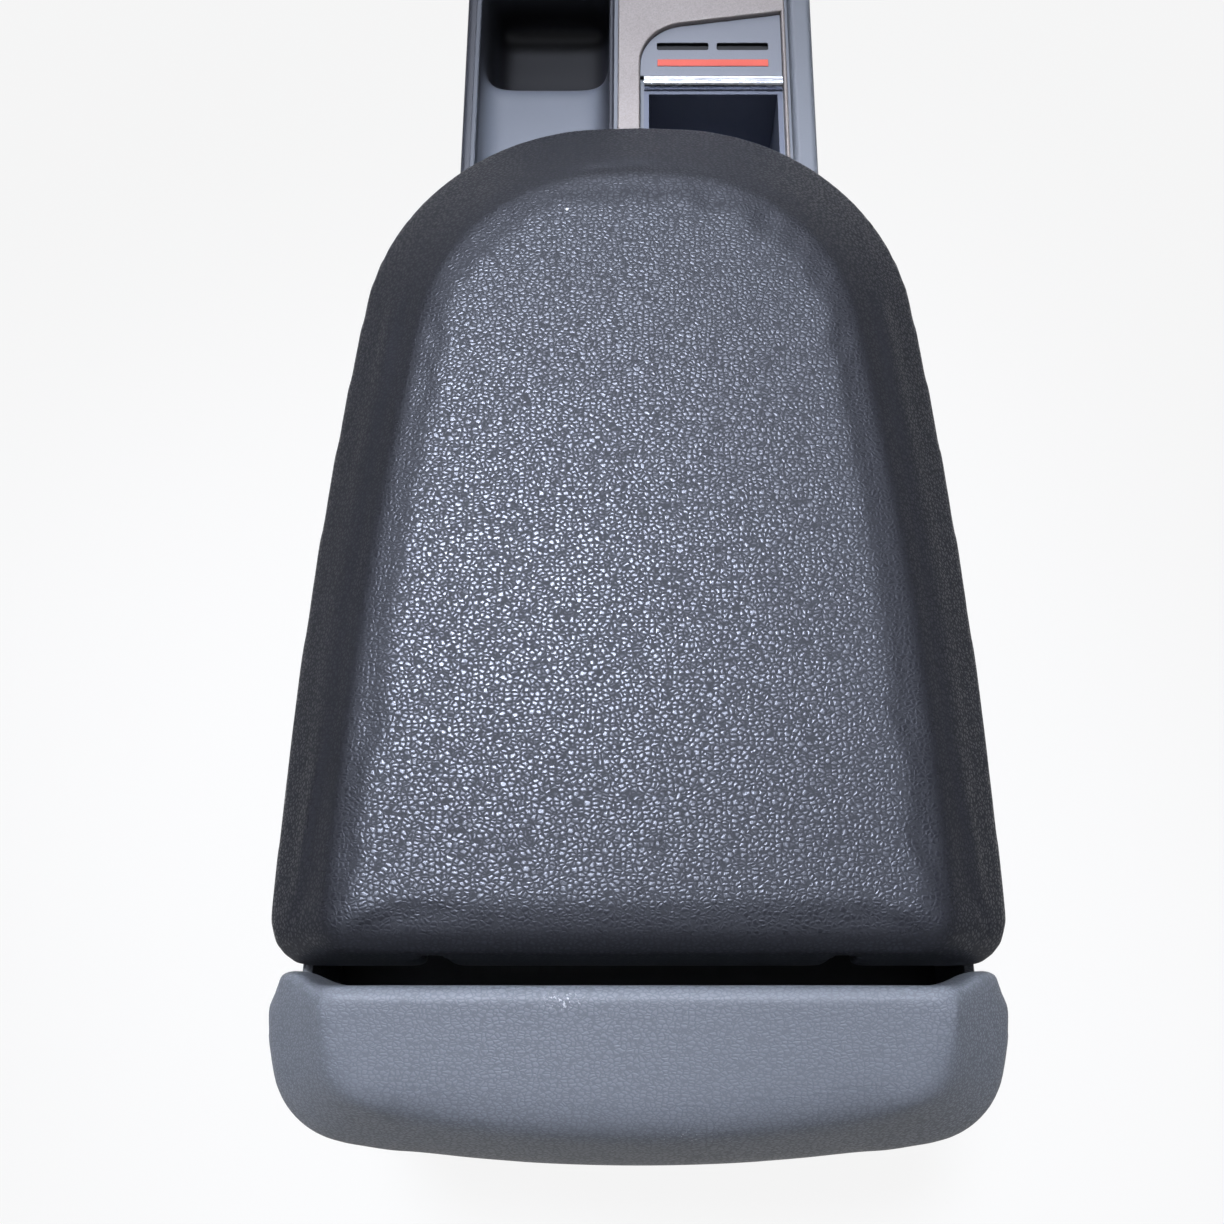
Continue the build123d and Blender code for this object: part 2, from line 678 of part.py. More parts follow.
# Console: faceted rear cap, hollow from below
with BuildPart() as rear_cap:
    add(cap_solid)
    top_face = rear_cap.faces().filter_by(cap_plane(top_height)).sort_by(Axis.Z)[-1]
    fillet(top_face.edges(), radius=cap_crease_radius)
    shoulder_plane = cap_plane(lid_shoulder)
    cap_shoulder = rear_cap.edges().filter_by(
        lambda edge: abs(shoulder_plane.to_local_coords(edge.position_at(0.5)).Z) < seat_clearance
    )
    fillet(cap_shoulder, radius=cap_shoulder_radius)
    add(cap_horn.part)
    mirror(cap_horn.part, about=Plane.YZ)
    add(cap_cavity, mode=Mode.SUBTRACT)
rear_cap.part.label = "rear_cap"
export_step(rear_cap.part, "parts/rear_cap.step")

# Console: wide rim that sits on the walls, with the skirt down to the deck
with BuildPart() as bin_rim:
    window_rear = hook_rear_y - hook_toe - 2 * latch_opening_gap
    window_front = latch_y + 2 * hook_thickness
    with BuildSketch(Plane.XY.offset(rim_underside)):
        add(console_outline(0))
        with Locations((0, bin_rear_y)):
            Rectangle(
                console_width, step_y - bin_rear_y,
                align=(Align.CENTER, Align.MIN), mode=Mode.INTERSECT,
            )
        add(bin_outline(-seat_clearance), mode=Mode.SUBTRACT)
        with Locations((0, window_rear)):
            Rectangle(
                hook_width + 2 * rim_window_margin, window_front - window_rear,
                align=(Align.CENTER, Align.MIN), mode=Mode.SUBTRACT,
            )
    extrude(amount=rim_thickness)
    with Locations((0, step_y, deck_underside)):
        Box(
            deck_width - 2 * wall, rim_thickness, rim_underside - deck_underside,
            align=(Align.CENTER, Align.MAX, Align.MIN),
        )
bin_rim.part.label = "bin_rim"
export_step(bin_rim.part, "parts/bin_rim.step")

# Console: storage bin, hung in the rim by its lip
with BuildPart() as storage_bin:
    with BuildSketch(Plane.XY.offset(bin_floor)):
        add(bin_outline(0))
    extrude(amount=rim_top - bin_floor)
    with BuildSketch(Plane.XY.offset(rim_top)):
        add(bin_outline(-bin_lip))
    extrude(amount=bin_lip_thickness)
    with BuildSketch(Plane.XY.offset(bin_floor + bin_wall)):
        add(bin_outline(bin_wall))
    extrude(amount=rim_top - bin_floor, mode=Mode.SUBTRACT)
    with Locations(*[Location((x, bin_rear_y, rivet_z), (90, 0, 0)) for x in rivet_spots]):
        Cylinder(rivet_radius + fastener_clearance, 4 * bin_wall, mode=Mode.SUBTRACT)
    with Locations(*[(x, y, bin_floor) for x in (-foot_rivet_x, foot_rivet_x) for y in foot_spots]):
        Cylinder(rivet_radius + fastener_clearance, 4 * bin_wall, mode=Mode.SUBTRACT)
storage_bin.part.label = "storage_bin"
export_step(storage_bin.part, "parts/storage_bin.step")

# Console: shelf between the walls, under the hinge
with BuildPart() as hinge_shelf:
    with BuildSketch(Plane.XY.offset(bracket_bottom - wall)):
        add(console_outline(wall))
        with Locations((0, cap_front_y)):
            Rectangle(
                console_width, bin_rear_y - cap_front_y,
                align=(Align.CENTER, Align.MIN), mode=Mode.INTERSECT,
            )
    extrude(amount=wall)
hinge_shelf.part.label = "hinge_shelf"
export_step(hinge_shelf.part, "parts/hinge_shelf.step")

# Console: rubber mat on the bin's floor
with BuildPart() as bin_mat:
    with BuildSketch(Plane.XY.offset(bin_floor + bin_wall)):
        add(bin_outline(bin_wall + seat_clearance))
    extrude(amount=mat_thickness)
bin_mat.part.label = "bin_mat"
export_step(bin_mat.part, "parts/bin_mat.step")

# Console: steel striker under the rim, with a window for the latch hook
with BuildPart() as striker:
    striker_rear = bin_front_y
    striker_front = window_front + striker_edge
    edge_y = hook_rear_y - hook_toe + striker_overlap
    with BuildSketch(Plane.XY.offset(rim_underside - striker_thickness)):
        with Locations((0, striker_rear)):
            Rectangle(
                hook_width + 2 * striker_margin, striker_front - striker_rear,
                align=(Align.CENTER, Align.MIN),
            )
        with Locations((0, edge_y)):
            Rectangle(
                hook_width + 2 * striker_window_margin, window_front - edge_y,
                align=(Align.CENTER, Align.MIN), mode=Mode.SUBTRACT,
            )
    extrude(amount=striker_thickness)
striker.part.label = "striker"
export_step(striker.part, "parts/striker.step")

# Console: steel hinge bracket, a cross plate behind the bin with two upright ears
with BuildPart() as hinge_bracket:
    plate_width = ear_spacing + ear_thickness
    with Locations((0, bin_rear_y, bracket_bottom)):
        Box(
            plate_width, bracket_thickness, bracket_top - bracket_bottom,
            align=(Align.CENTER, Align.MAX, Align.MIN),
        )
    with BuildSketch(*[Plane.YZ.offset(x - ear_thickness / 2) for x in ear_spots]):
        with Locations((hinge_y, hinge_z)):
            Circle(ear_radius)
        with Locations((hinge_y, bracket_bottom)):
            Rectangle(2 * ear_radius, hinge_z - bracket_bottom, align=(Align.CENTER, Align.MIN))
        with Locations((hinge_y, bracket_bottom)):
            Rectangle(
                bin_rear_y - hinge_y, bracket_top - bracket_bottom, align=(Align.MIN, Align.MIN)
            )
        with Locations((hinge_y, hinge_z)):
            Circle(hinge_bush_radius + fastener_clearance, mode=Mode.SUBTRACT)
    extrude(amount=ear_thickness)
    with Locations(*[Location((x, bin_rear_y, rivet_z), (90, 0, 0)) for x in rivet_spots]):
        Cylinder(rivet_radius + fastener_clearance, 4 * bracket_thickness, mode=Mode.SUBTRACT)
hinge_bracket.part.label = "hinge_bracket"
export_step(hinge_bracket.part, "parts/hinge_bracket.step")

# Console: plain bushes in the bracket's ears
with BuildPart() as hinge_bushes:
    with Locations(*[Location((x, hinge_y, hinge_z), (0, 90, 0)) for x in ear_spots]):
        Cylinder(hinge_bush_radius, ear_thickness)
        Cylinder(hinge_pin_radius + running_clearance, 2 * ear_thickness, mode=Mode.SUBTRACT)
hinge_bushes.part.label = "hinge_bushes"
export_step(hinge_bushes.part, "parts/hinge_bushes.step")

# Console: rivets that hold the bracket to the bin
with BuildPart() as bracket_rivets:
    rivet_length = bracket_thickness + bin_wall
    for x in rivet_spots:
        plate_rear = bin_rear_y - bracket_thickness
        with Locations(Location((x, plate_rear, rivet_z), (90, 0, 0))):
            Cylinder(rivet_head_radius, rivet_head_height, align=(Align.CENTER, Align.CENTER, Align.MIN))
            Cylinder(rivet_radius, rivet_length, align=(Align.CENTER, Align.CENTER, Align.MAX))
bracket_rivets.part.label = "bracket_rivets"
export_step(bracket_rivets.part, "parts/bracket_rivets.step")

# Console: four floor feet bent from steel strip
with BuildPart() as floor_feet:
    for y in foot_spots:
        with Locations((foot_web, y, 0)):
            Box(
                foot_outer - foot_web, foot_width, foot_thickness,
                align=(Align.MIN, Align.CENTER, Align.MIN),
            )
            Box(foot_thickness, foot_width, bin_floor, align=(Align.MIN, Align.CENTER, Align.MIN))
        with Locations((foot_inner, y, bin_floor)):
            Box(
                foot_web - foot_inner, foot_width, foot_thickness,
                align=(Align.MIN, Align.CENTER, Align.MAX),
            )
        with Locations((bolt_spacing_x / 2, y, 0)):
            Cylinder(foot_hole_radius, 4 * foot_thickness, mode=Mode.SUBTRACT)
        with Locations((foot_rivet_x, y, bin_floor)):
            Cylinder(rivet_radius + fastener_clearance, 4 * foot_thickness, mode=Mode.SUBTRACT)
    mirror(about=Plane.YZ)
floor_feet.part.label = "floor_feet"
export_step(floor_feet.part, "parts/floor_feet.step")

# Console: rivets that hold the feet to the bin's floor
with BuildPart() as foot_rivets:
    for y in foot_spots:
        with Locations(*[(x, y, bin_floor - foot_thickness) for x in (-foot_rivet_x, foot_rivet_x)]):
            Cylinder(rivet_head_radius, rivet_head_height, align=(Align.CENTER, Align.CENTER, Align.MAX))
            Cylinder(
                rivet_radius, foot_thickness + bin_wall,
                align=(Align.CENTER, Align.CENTER, Align.MIN),
            )
foot_rivets.part.label = "foot_rivets"
export_step(foot_rivets.part, "parts/foot_rivets.step")

# Console: deck plate ahead of the lid, with a raised rail at the right
with BuildPart() as console_deck:
    deck_size = front_y - step_y
    with Locations((0, step_y, deck_underside)):
        Box(deck_width, deck_size, wall, align=(Align.CENTER, Align.MIN, Align.MIN))
    with Locations((deck_width / 2, step_y, deck_top)):
        Box(rail_width, deck_size, rail_height, align=(Align.MAX, Align.MIN, Align.MIN))
    rail_edges = console_deck.edges().filter_by(Axis.Y).group_by(Axis.Z)[-1]
    fillet(rail_edges, radius=rail_radius)
    left_edge = console_deck.edges().filter_by(Axis.Y).group_by(Axis.X)[0].sort_by(Axis.Z)[-1]
    fillet(left_edge, radius=deck_edge_radius)
    with BuildSketch(Plane.XY.offset(deck_underside)):
        with Locations((tray_left, step_y + wall)):
            RectangleRounded(
                tray_right - tray_left, tray_front_y - step_y - wall, tray_corner_radius,
                align=(Align.MIN, Align.MIN),
            )
    extrude(amount=wall, mode=Mode.SUBTRACT)
    with Locations((pocket_left, step_y + wall, deck_top)):
        Box(
            pocket_right - pocket_left, pocket_front_y - step_y - wall, 4 * wall,
            align=(Align.MIN, Align.MIN, Align.CENTER), mode=Mode.SUBTRACT,
        )
console_deck.part.label = "console_deck"
export_step(console_deck.part, "parts/console_deck.step")

# Console: open tray at the left, a shallow shelf that falls into a deep well
with BuildPart() as left_tray:
    add(tray_form(0))
    add(tray_form(tray_wall), mode=Mode.SUBTRACT)
left_tray.part.label = "left_tray"
export_step(left_tray.part, "parts/left_tray.step")

# Console: deep pocket at the right
with BuildPart() as pocket_liner:
    with Locations((pocket_left, step_y + wall, deck_top)):
        Box(
            pocket_right - pocket_left, pocket_front_y - step_y - wall, pocket_depth,
            align=(Align.MIN, Align.MIN, Align.MAX),
        )
    offset(amount=-pocket_wall, openings=pocket_liner.faces().sort_by(Axis.Z)[-1])
pocket_liner.part.label = "pocket_liner"
export_step(pocket_liner.part, "parts/pocket_liner.step")

# Console: trim panel with a thick left leg and a thin right leg round the pocket
with BuildPart() as trim_panel:
    trim_front_y = front_y - trim_front_margin
    with BuildSketch(Plane.XY.offset(deck_top)):
        with Locations((trim_left, step_y)):
            Rectangle(trim_right - trim_left, trim_front_y - step_y, align=(Align.MIN, Align.MIN))
        add(coin_outline(0), mode=Mode.SUBTRACT)
    extrude(amount=trim_height)
    fillet(trim_panel.faces().sort_by(Axis.Z)[-1].edges(), radius=trim_edge_radius)
trim_panel.part.label = "trim_panel"
export_step(trim_panel.part, "parts/trim_panel.step")

# Console: coin panel between the pocket and the trim, with two blind slots and a groove
slot_y = lid_front_y + coin_slot_reach
accent_y = lid_front_y + accent_reach
coin_middle = (pocket_left + pocket_right) / 2
slot_step = (coin_slot_length + coin_slot_gap) / 2
with BuildPart() as coin_panel:
    with BuildSketch(Plane.XY.offset(deck_top)):
        add(coin_outline(seat_clearance))
        with Locations((0, coin_panel_y)):
            Rectangle(deck_width, deck_length, align=(Align.CENTER, Align.MIN), mode=Mode.INTERSECT)
    extrude(amount=coin_panel_height)
    coin_top = deck_top + coin_panel_height
    with BuildSketch(Plane.XY.offset(coin_top)):
        with Locations((coin_middle - slot_step, slot_y), (coin_middle + slot_step, slot_y)):
            RectangleRounded(coin_slot_length, coin_slot_width, coin_slot_width / 4)
    extrude(amount=-coin_slot_depth, mode=Mode.SUBTRACT)
    with BuildSketch(Plane.XY.offset(coin_top)):
        with Locations((coin_middle, accent_y)):
            Rectangle(accent_length, accent_width)
    extrude(amount=-accent_depth, mode=Mode.SUBTRACT)
coin_panel.part.label = "coin_panel"
export_step(coin_panel.part, "parts/coin_panel.step")

# Console: red accent strip set in the coin panel's groove
with BuildPart() as accent_strip:
    strip_clearance = seat_clearance / 2
    with Locations((coin_middle, accent_y, coin_top - accent_depth)):
        Box(
            accent_length - 2 * strip_clearance, accent_width - 2 * strip_clearance, accent_depth + accent_proud,
            align=(Align.CENTER, Align.CENTER, Align.MIN),
        )
accent_strip.part.label = "accent_strip"
export_step(accent_strip.part, "parts/accent_strip.step")

# Console: bright strip along the pocket's front edge
with BuildPart() as chrome_strip:
    with Locations((coin_middle, pocket_front_y, deck_top)):
        Box(
            pocket_right - pocket_left, chrome_width - seat_clearance, chrome_height,
            align=(Align.CENTER, Align.MIN, Align.MIN),
        )
    fillet(chrome_strip.edges().filter_by(Axis.X).group_by(Axis.Z)[-1], radius=chrome_width / 3)
chrome_strip.part.label = "chrome_strip"
export_step(chrome_strip.part, "parts/chrome_strip.step")
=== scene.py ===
"""Car centre armrest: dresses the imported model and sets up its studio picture."""
import logging
import math
from collections.abc import Iterator
from dataclasses import dataclass
from enum import Enum

import bmesh
import bpy
from mathutils import Matrix, Vector


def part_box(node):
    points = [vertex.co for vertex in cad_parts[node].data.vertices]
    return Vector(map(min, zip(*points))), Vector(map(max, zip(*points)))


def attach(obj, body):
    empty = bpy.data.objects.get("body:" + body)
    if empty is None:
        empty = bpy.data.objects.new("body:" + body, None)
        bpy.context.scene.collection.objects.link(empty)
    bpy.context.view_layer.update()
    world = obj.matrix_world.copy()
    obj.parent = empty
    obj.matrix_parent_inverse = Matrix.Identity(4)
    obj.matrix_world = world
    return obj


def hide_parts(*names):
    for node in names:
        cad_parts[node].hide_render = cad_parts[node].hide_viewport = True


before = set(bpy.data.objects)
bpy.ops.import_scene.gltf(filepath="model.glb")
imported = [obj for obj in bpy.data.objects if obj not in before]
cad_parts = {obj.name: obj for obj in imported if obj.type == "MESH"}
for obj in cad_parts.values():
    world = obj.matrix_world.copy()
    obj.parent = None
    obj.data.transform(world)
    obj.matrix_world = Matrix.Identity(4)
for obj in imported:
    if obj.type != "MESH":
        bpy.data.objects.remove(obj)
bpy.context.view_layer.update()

LOG = logging.getLogger("armrest")
MM = 0.001
ROUND_STEPS = 3                  # segments of a rounded edge

Colour = tuple[float, float, float, float]
Point = tuple[float, float, float]
Span = tuple[float, float]
Tree = bpy.types.NodeTree
Socket = bpy.types.NodeSocket


class Body(Enum):
    """Bodies of the armrest that move on their own."""

    CONSOLE = "console"
    LID = "lid"
    LATCH = "latch"


class Grain(Enum):
    """Textures that the moulding tools leave on a surface."""

    PEBBLE = "rounded pebbles with deep creases"
    HIDE = "low wrinkled hide"
    SPARK = "fine even spark texture"


# Stretch of one grain along X, Y and Z, and the share of its width at which its dome is full.
GRAIN_STRETCH = {Grain.PEBBLE: (0.88, 1.12, 1.0), Grain.HIDE: (0.75, 1.2, 1.2)}
GRAIN_TOP = {Grain.PEBBLE: 0.36, Grain.HIDE: 0.4}
GRAIN_SWAY = 0.55                # bends of the creases along one grain
GRAIN_BEND = 0.9                 # reach of these bends, in grains
GRAIN_DISORDER = 0.9             # zero would be a regular grid
LOWEST_GRAIN = 0.7               # height of the lowest grain beside the highest
FINE_RATE = 0.9                  # waves of the fine relief along one grain
FINE_SHARE = 0.16                # height of the fine relief beside the grain
CALM_SHARE = 0.25                # relief that is left where the grain fades out
PAINTED_VALLEY_SHADE: Span = (0.1, 0.45)       # relief from a valley's painted shade to a crest's colour
GLOSS: Span = (0.15, 0.7)        # relief from a valley's roughness to a crest's
PATCH: Span = (0.35, 0.65)       # noise from no patch to a full one
PATCH_SHARE = 0.45               # most that a patch takes on the shade


def srgb(code: str) -> Colour:
    """Turn an sRGB hex code into a linear colour.

    Args:
        code: Colour as "#rrggbb".

    Returns:
        Linear red, green, blue and an alpha of one.
    """
    shares = [int(code[i:i + 2], 16) / 255 for i in (1, 3, 5)]
    linear = [s / 12.92 if s <= 0.04045 else ((s + 0.055) / 1.055) ** 2.4 for s in shares]
    return (linear[0], linear[1], linear[2], 1.0)


def add_node(tree: Tree, kind: str, inputs: dict | None = None, **settings) -> bpy.types.Node:
    """Add a node with its settings, values and links.

    Args:
        tree: Node tree that gets the node.
        kind: Blender's name of the node's type.
        inputs: Values, or sockets to link, by the input's name or number.
        settings: The node's own settings.

    Returns:
        The new node.
    """
    made = tree.nodes.new(kind)
    for name, value in settings.items():
        setattr(made, name, value)
    for name, value in (inputs or {}).items():
        if isinstance(value, Socket):
            tree.links.new(value, made.inputs[name])
        else:
            made.inputs[name].default_value = value
    return made


def combine(tree: Tree, operation: str, *values: Socket | float) -> Socket:
    """Combine numbers in a math node.

    Args:
        tree: Node tree that gets the node.
        operation: What the node does.
        values: Sockets or numbers, in the node's order.

    Returns:
        The result.
    """
    return add_node(tree, "ShaderNodeMath", dict(enumerate(values)), operation=operation).outputs[0]


def shift(tree: Tree, operation: str, *values: Socket | Point) -> Socket:
    """Combine vectors in a vector math node.

    Args:
        tree: Node tree that gets the node.
        operation: What the node does.
        values: Sockets or vectors, in the node's order.

    Returns:
        The resulting vector.
    """
    return add_node(tree, "ShaderNodeVectorMath", dict(enumerate(values)), operation=operation).outputs[0]


def ramp(tree: Tree, value: Socket, span: Span, ends: Span = (0.0, 1.0), kind: str = "LINEAR") -> Socket:
    """Map a number from one range to another, and clamp it there.

    Args:
        tree: Node tree that gets the node.
        value: The number.
        span: Its range.
        ends: Results at both ends of the range.
        kind: Course between the ends.

    Returns:
        The result.
    """
    inputs = dict(enumerate((value, *span, *ends)))
    return add_node(tree, "ShaderNodeMapRange", inputs, interpolation_type=kind).outputs[0]


def mix_colours(tree: Tree, share: Socket, first: Socket | Colour, second: Colour) -> Socket:
    """Mix two colours.

    Args:
        tree: Node tree that gets the node.
        share: Share of the second colour.
        first: First colour.
        second: Second colour.

    Returns:
        The mixed colour.
    """
    return add_node(tree, "ShaderNodeMix", {0: share, 6: first, 7: second}, data_type="RGBA").outputs[2]


def noise(tree: Tree, place: Socket, size: float, detail: float = 2.0) -> bpy.types.Node:
    """Make a noise.

    Args:
        tree: Node tree that gets the node.
        place: Object coordinates.
        size: Width of its features, millimetres.
        detail: Number of finer layers.

    Returns:
        The noise's node, whose first output is the level.
    """
    return add_node(tree, "ShaderNodeTexNoise", {"Vector": place, "Scale": 1 / (size * MM), "Detail": detail})


def seen_rays(tree: Tree) -> Socket:
    """Pick the rays that look at the stage.

    Args:
        tree: Node tree of the floor or of the surround.

    Returns:
        Socket that is one for camera, glossy and transmission rays, and zero for others.
    """
    rays = add_node(tree, "ShaderNodeLightPath").outputs
    seen = combine(tree, "MAXIMUM", rays["Is Camera Ray"], rays["Is Glossy Ray"])
    return combine(tree, "MAXIMUM", seen, rays["Is Transmission Ray"])


def start_material(name: str) -> tuple[bpy.types.Material, Tree, Socket, bpy.types.Node]:
    """Start a material that holds one principled shader.

    Args:
        name: Common name of the material.

    Returns:
        The material, its node tree, its object coordinates and its shader.
    """
    made = bpy.data.materials.new(name)
    made.use_nodes = True
    tree = made.node_tree
    tree.nodes.clear()
    shader = add_node(tree, "ShaderNodeBsdfPrincipled")
    add_node(tree, "ShaderNodeOutputMaterial", {"Surface": shader.outputs["BSDF"]})
    return made, tree, add_node(tree, "ShaderNodeTexCoord").outputs["Object"], shader


def join_looks(
    tree: Tree, shader: bpy.types.Node, colour: Socket, roughness: Socket, relief: Socket, depth: float,
) -> None:
    """Join a finish's looks to its shader.

    Args:
        tree: Node tree of the material.
        shader: The principled shader.
        colour: Colour of the surface.
        roughness: Its roughness.
        relief: Its relief, from zero to one.
        depth: Depth of the relief, millimetres.
    """
    bump = add_node(tree, "ShaderNodeBump", {"Strength": 1.0, "Distance": depth * MM, "Height": relief})
    tree.links.new(colour, shader.inputs["Base Color"])
    tree.links.new(roughness, shader.inputs["Roughness"])
    tree.links.new(bump.outputs[0], shader.inputs["Normal"])


@dataclass(frozen=True)
class Mark:
    """Small mark of wear: flecks of another colour round one spot, pressed in or raised."""

    spot: Point                  # millimetres
    reach: Point                 # half sizes along X, Y and Z, millimetres
    colour: str
    fleck: float = 0.6           # size of one fleck, millimetres
    cover: float = 0.5           # share of the spot that the flecks cover
    depth: float = 0.0           # share of the grain's depth, below zero for a dent
    core: float = 0.35           # share of the reach that has all its flecks
    edge: float = 0.06           # softness of a fleck's edge

    def mask(self, tree: Tree, place: Socket) -> Socket:
        """Make the mask of the mark's flecks.

        Args:
            tree: Node tree of the material.
            place: Object coordinates.

        Returns:
            Socket that is one on a fleck and zero elsewhere.
        """
        centre = tuple(-v / r for v, r in zip(self.spot, self.reach))
        size = tuple(1 / (r * MM) for r in self.reach)
        local = shift(tree, "MULTIPLY_ADD", place, size, centre)
        far = add_node(tree, "ShaderNodeVectorMath", {0: local}, operation="LENGTH").outputs["Value"]
        near = ramp(tree, far, (self.core, 1.0), (1.0, 0.0))
        low = 0.78 - 0.5 * self.cover
        fleck = ramp(tree, noise(tree, place, self.fleck).outputs[0], (low, low + self.edge))
        return combine(tree, "MULTIPLY", near, fleck)


@dataclass(frozen=True)
class PaintedShade:
    """Painted shade: slow change to another colour along one axis."""

    axis: str
    start: float                 # millimetres
    end: float
    colour: str

    def blend(self, tree: Tree, place: Socket, colour: Socket) -> Socket:
        """Blend the painted shade's colour over another colour.

        Args:
            tree: Node tree of the material.
            place: Object coordinates.
            colour: Colour before the fade.

        Returns:
            Colour after it.
        """
        along = add_node(tree, "ShaderNodeSeparateXYZ", {0: place}).outputs[self.axis]
        low, high = sorted((self.start, self.end))
        ends = (0.0, 1.0) if self.start < self.end else (1.0, 0.0)
        share = ramp(tree, along, (low * MM, high * MM), ends, "SMOOTHSTEP")
        return mix_colours(tree, share, colour, srgb(self.colour))


@dataclass(frozen=True)
class Finish:
    """Finish of a surface, which makes its material once."""

    name: str

    def shared(self) -> bpy.types.Material:
        """Return the finish's material, made at its first use."""
        return bpy.data.materials.get(self.name) or self.material()

    def material(self) -> bpy.types.Material:
        """Make the finish's material."""
        raise NotImplementedError(self.name)


@dataclass(frozen=True)
class GrainedSurface(Finish):
    """Moulded surface that took its grain from the tool."""

    colour: str                  # crest of the grain
    shade: str                   # patches, and painted shade in the valleys
    grain: Grain
    pitch: float                 # width of one grain, millimetres
    depth: float                 # depth of the grain, millimetres
    roughness: float
    valley_roughness: float
    specular: float = 0.5
    shine: str = "#ffffff"       # tint of the reflections
    layer: float = 0.0           # lift of the grain, so that a flat top cuts it in its middle, millimetres
    patch: float = 60.0          # width of the faint colour patches, millimetres
    calm: Span | None = None     # Y where the grain fades out and is full, millimetres
    fades: tuple[PaintedShade, ...] = ()
    marks: tuple[Mark, ...] = ()

    def height(self, tree: Tree, place: Socket) -> Socket:
        """Make the grain's relief.

        Args:
            tree: Node tree of the material.
            place: Object coordinates.

        Returns:
            Socket from zero in a valley to about one on a crest.
        """
        if self.grain is Grain.SPARK:
            return noise(tree, place, self.pitch, detail=3.0).outputs[0]
        sway = noise(tree, place, self.pitch / GRAIN_SWAY).outputs["Color"]
        sway = shift(tree, "SUBTRACT", sway, (0.5,) * 3)
        moved = shift(tree, "MULTIPLY_ADD", sway, (GRAIN_BEND * self.pitch * MM,) * 3, place)
        lift = (0.0, 0.0, -self.layer * MM)
        moved = shift(tree, "MULTIPLY_ADD", moved, GRAIN_STRETCH[self.grain], lift)
        layout = {"Vector": moved, "Scale": 1 / (self.pitch * MM), "Randomness": GRAIN_DISORDER}
        creases = add_node(tree, "ShaderNodeTexVoronoi", layout, feature="DISTANCE_TO_EDGE")
        dome = ramp(tree, creases.outputs["Distance"], (0.0, GRAIN_TOP[self.grain]), kind="SMOOTHSTEP")
        cells = add_node(tree, "ShaderNodeTexVoronoi", layout)
        level = ramp(tree, cells.outputs["Color"], (0.0, 1.0), (LOWEST_GRAIN, 1.0))
        uneven = combine(tree, "MULTIPLY", dome, level)
        fine = noise(tree, place, self.pitch / FINE_RATE).outputs[0]
        return combine(tree, "MULTIPLY_ADD", fine, FINE_SHARE, uneven)

    def material(self) -> bpy.types.Material:
        """Make the finish's material."""
        made, tree, place, shader = start_material(self.name)
        relief = self.height(tree, place)
        if self.calm:
            along = add_node(tree, "ShaderNodeSeparateXYZ", {0: place}).outputs["Y"]
            calm = ramp(tree, along, (self.calm[0] * MM, self.calm[1] * MM), (CALM_SHARE, 1.0))
            relief = combine(tree, "MULTIPLY", relief, calm)
        patches = ramp(tree, noise(tree, place, self.patch, 3.0).outputs[0], PATCH, (0.0, PATCH_SHARE))
        # The shade colour goes on random patches, and as painted shade into the grain's valleys.
        share = combine(tree, "MAXIMUM", patches, ramp(tree, relief, PAINTED_VALLEY_SHADE, (1.0, 0.0)))
        colour = mix_colours(tree, share, srgb(self.colour), srgb(self.shade))
        # Painted shade, blended in by position.
        for fade in self.fades:
            colour = fade.blend(tree, place, colour)
        for mark in self.marks:
            mask = mark.mask(tree, place)
            colour = mix_colours(tree, mask, colour, srgb(mark.colour))
            if mark.depth:
                relief = combine(tree, "MULTIPLY_ADD", mask, mark.depth, relief)
        gloss = ramp(tree, relief, GLOSS, (self.valley_roughness, self.roughness))
        join_looks(tree, shader, colour, gloss, relief, self.depth)
        shader.inputs["Specular IOR Level"].default_value = self.specular
        shader.inputs["Specular Tint"].default_value = srgb(self.shine)
        return made


@dataclass(frozen=True)
class MetalSurface(Finish):
    """Plated or bare metal with fine drawn lines and faint stains."""

    colour: str
    shade: str
    roughness: float
    line: float = 0.4            # spacing of the drawn lines, millimetres
    drawn: Point = (0.08, 1.0, 1.0)   # the lines run along X
    stain: float = 12.0          # width of the stains, millimetres
    depth: float = 0.004         # depth of the lines, millimetres

    def material(self) -> bpy.types.Material:
        """Make the finish's material."""
        made, tree, place, shader = start_material(self.name)
        drawn = add_node(tree, "ShaderNodeMapping", {0: place, 3: self.drawn}).outputs[0]
        lines = noise(tree, drawn, self.line).outputs[0]
        stains = ramp(tree, noise(tree, place, self.stain, 3.0).outputs[0], (0.35, 0.7))
        colour = mix_colours(tree, stains, srgb(self.colour), srgb(self.shade))
        rough = ramp(tree, lines, (0.3, 0.7), (self.roughness * 0.75, self.roughness * 1.3))
        join_looks(tree, shader, colour, rough, lines, self.depth)
        shader.inputs["Metallic"].default_value = 1.0
        return made


@dataclass(frozen=True)
class FlakePaint(Finish):
    """Satin paint with fine metal flakes under a clear coat."""

    colour: str
    shade: str
    roughness: float
    flake: float = 0.5           # drawn coarser than real flakes, so that they show, millimetres
    depth: float = 0.006         # relief of the flakes, millimetres
    smear: float = 9.0           # width of the duller smears, millimetres
    metallic: float = 0.35
    coat: float = 0.3
    coat_roughness: float = 0.15

    def material(self) -> bpy.types.Material:
        """Make the finish's material."""
        made, tree, place, shader = start_material(self.name)
        flakes = add_node(tree, "ShaderNodeTexVoronoi", {"Vector": place, "Scale": 1 / (self.flake * MM)}).outputs
        tint = ramp(tree, flakes["Color"], (0.0, 1.0), (0.0, 0.8))
        colour = mix_colours(tree, tint, srgb(self.colour), srgb(self.shade))
        smears = noise(tree, place, self.smear, 3.0).outputs[0]
        rough = ramp(tree, smears, (0.3, 0.7), (self.roughness * 0.85, self.roughness * 1.2))
        join_looks(tree, shader, colour, rough, flakes["Distance"], self.depth)
        shader.inputs["Metallic"].default_value = self.metallic
        shader.inputs["Coat Weight"].default_value = self.coat
        shader.inputs["Coat Roughness"].default_value = self.coat_roughness
        return made


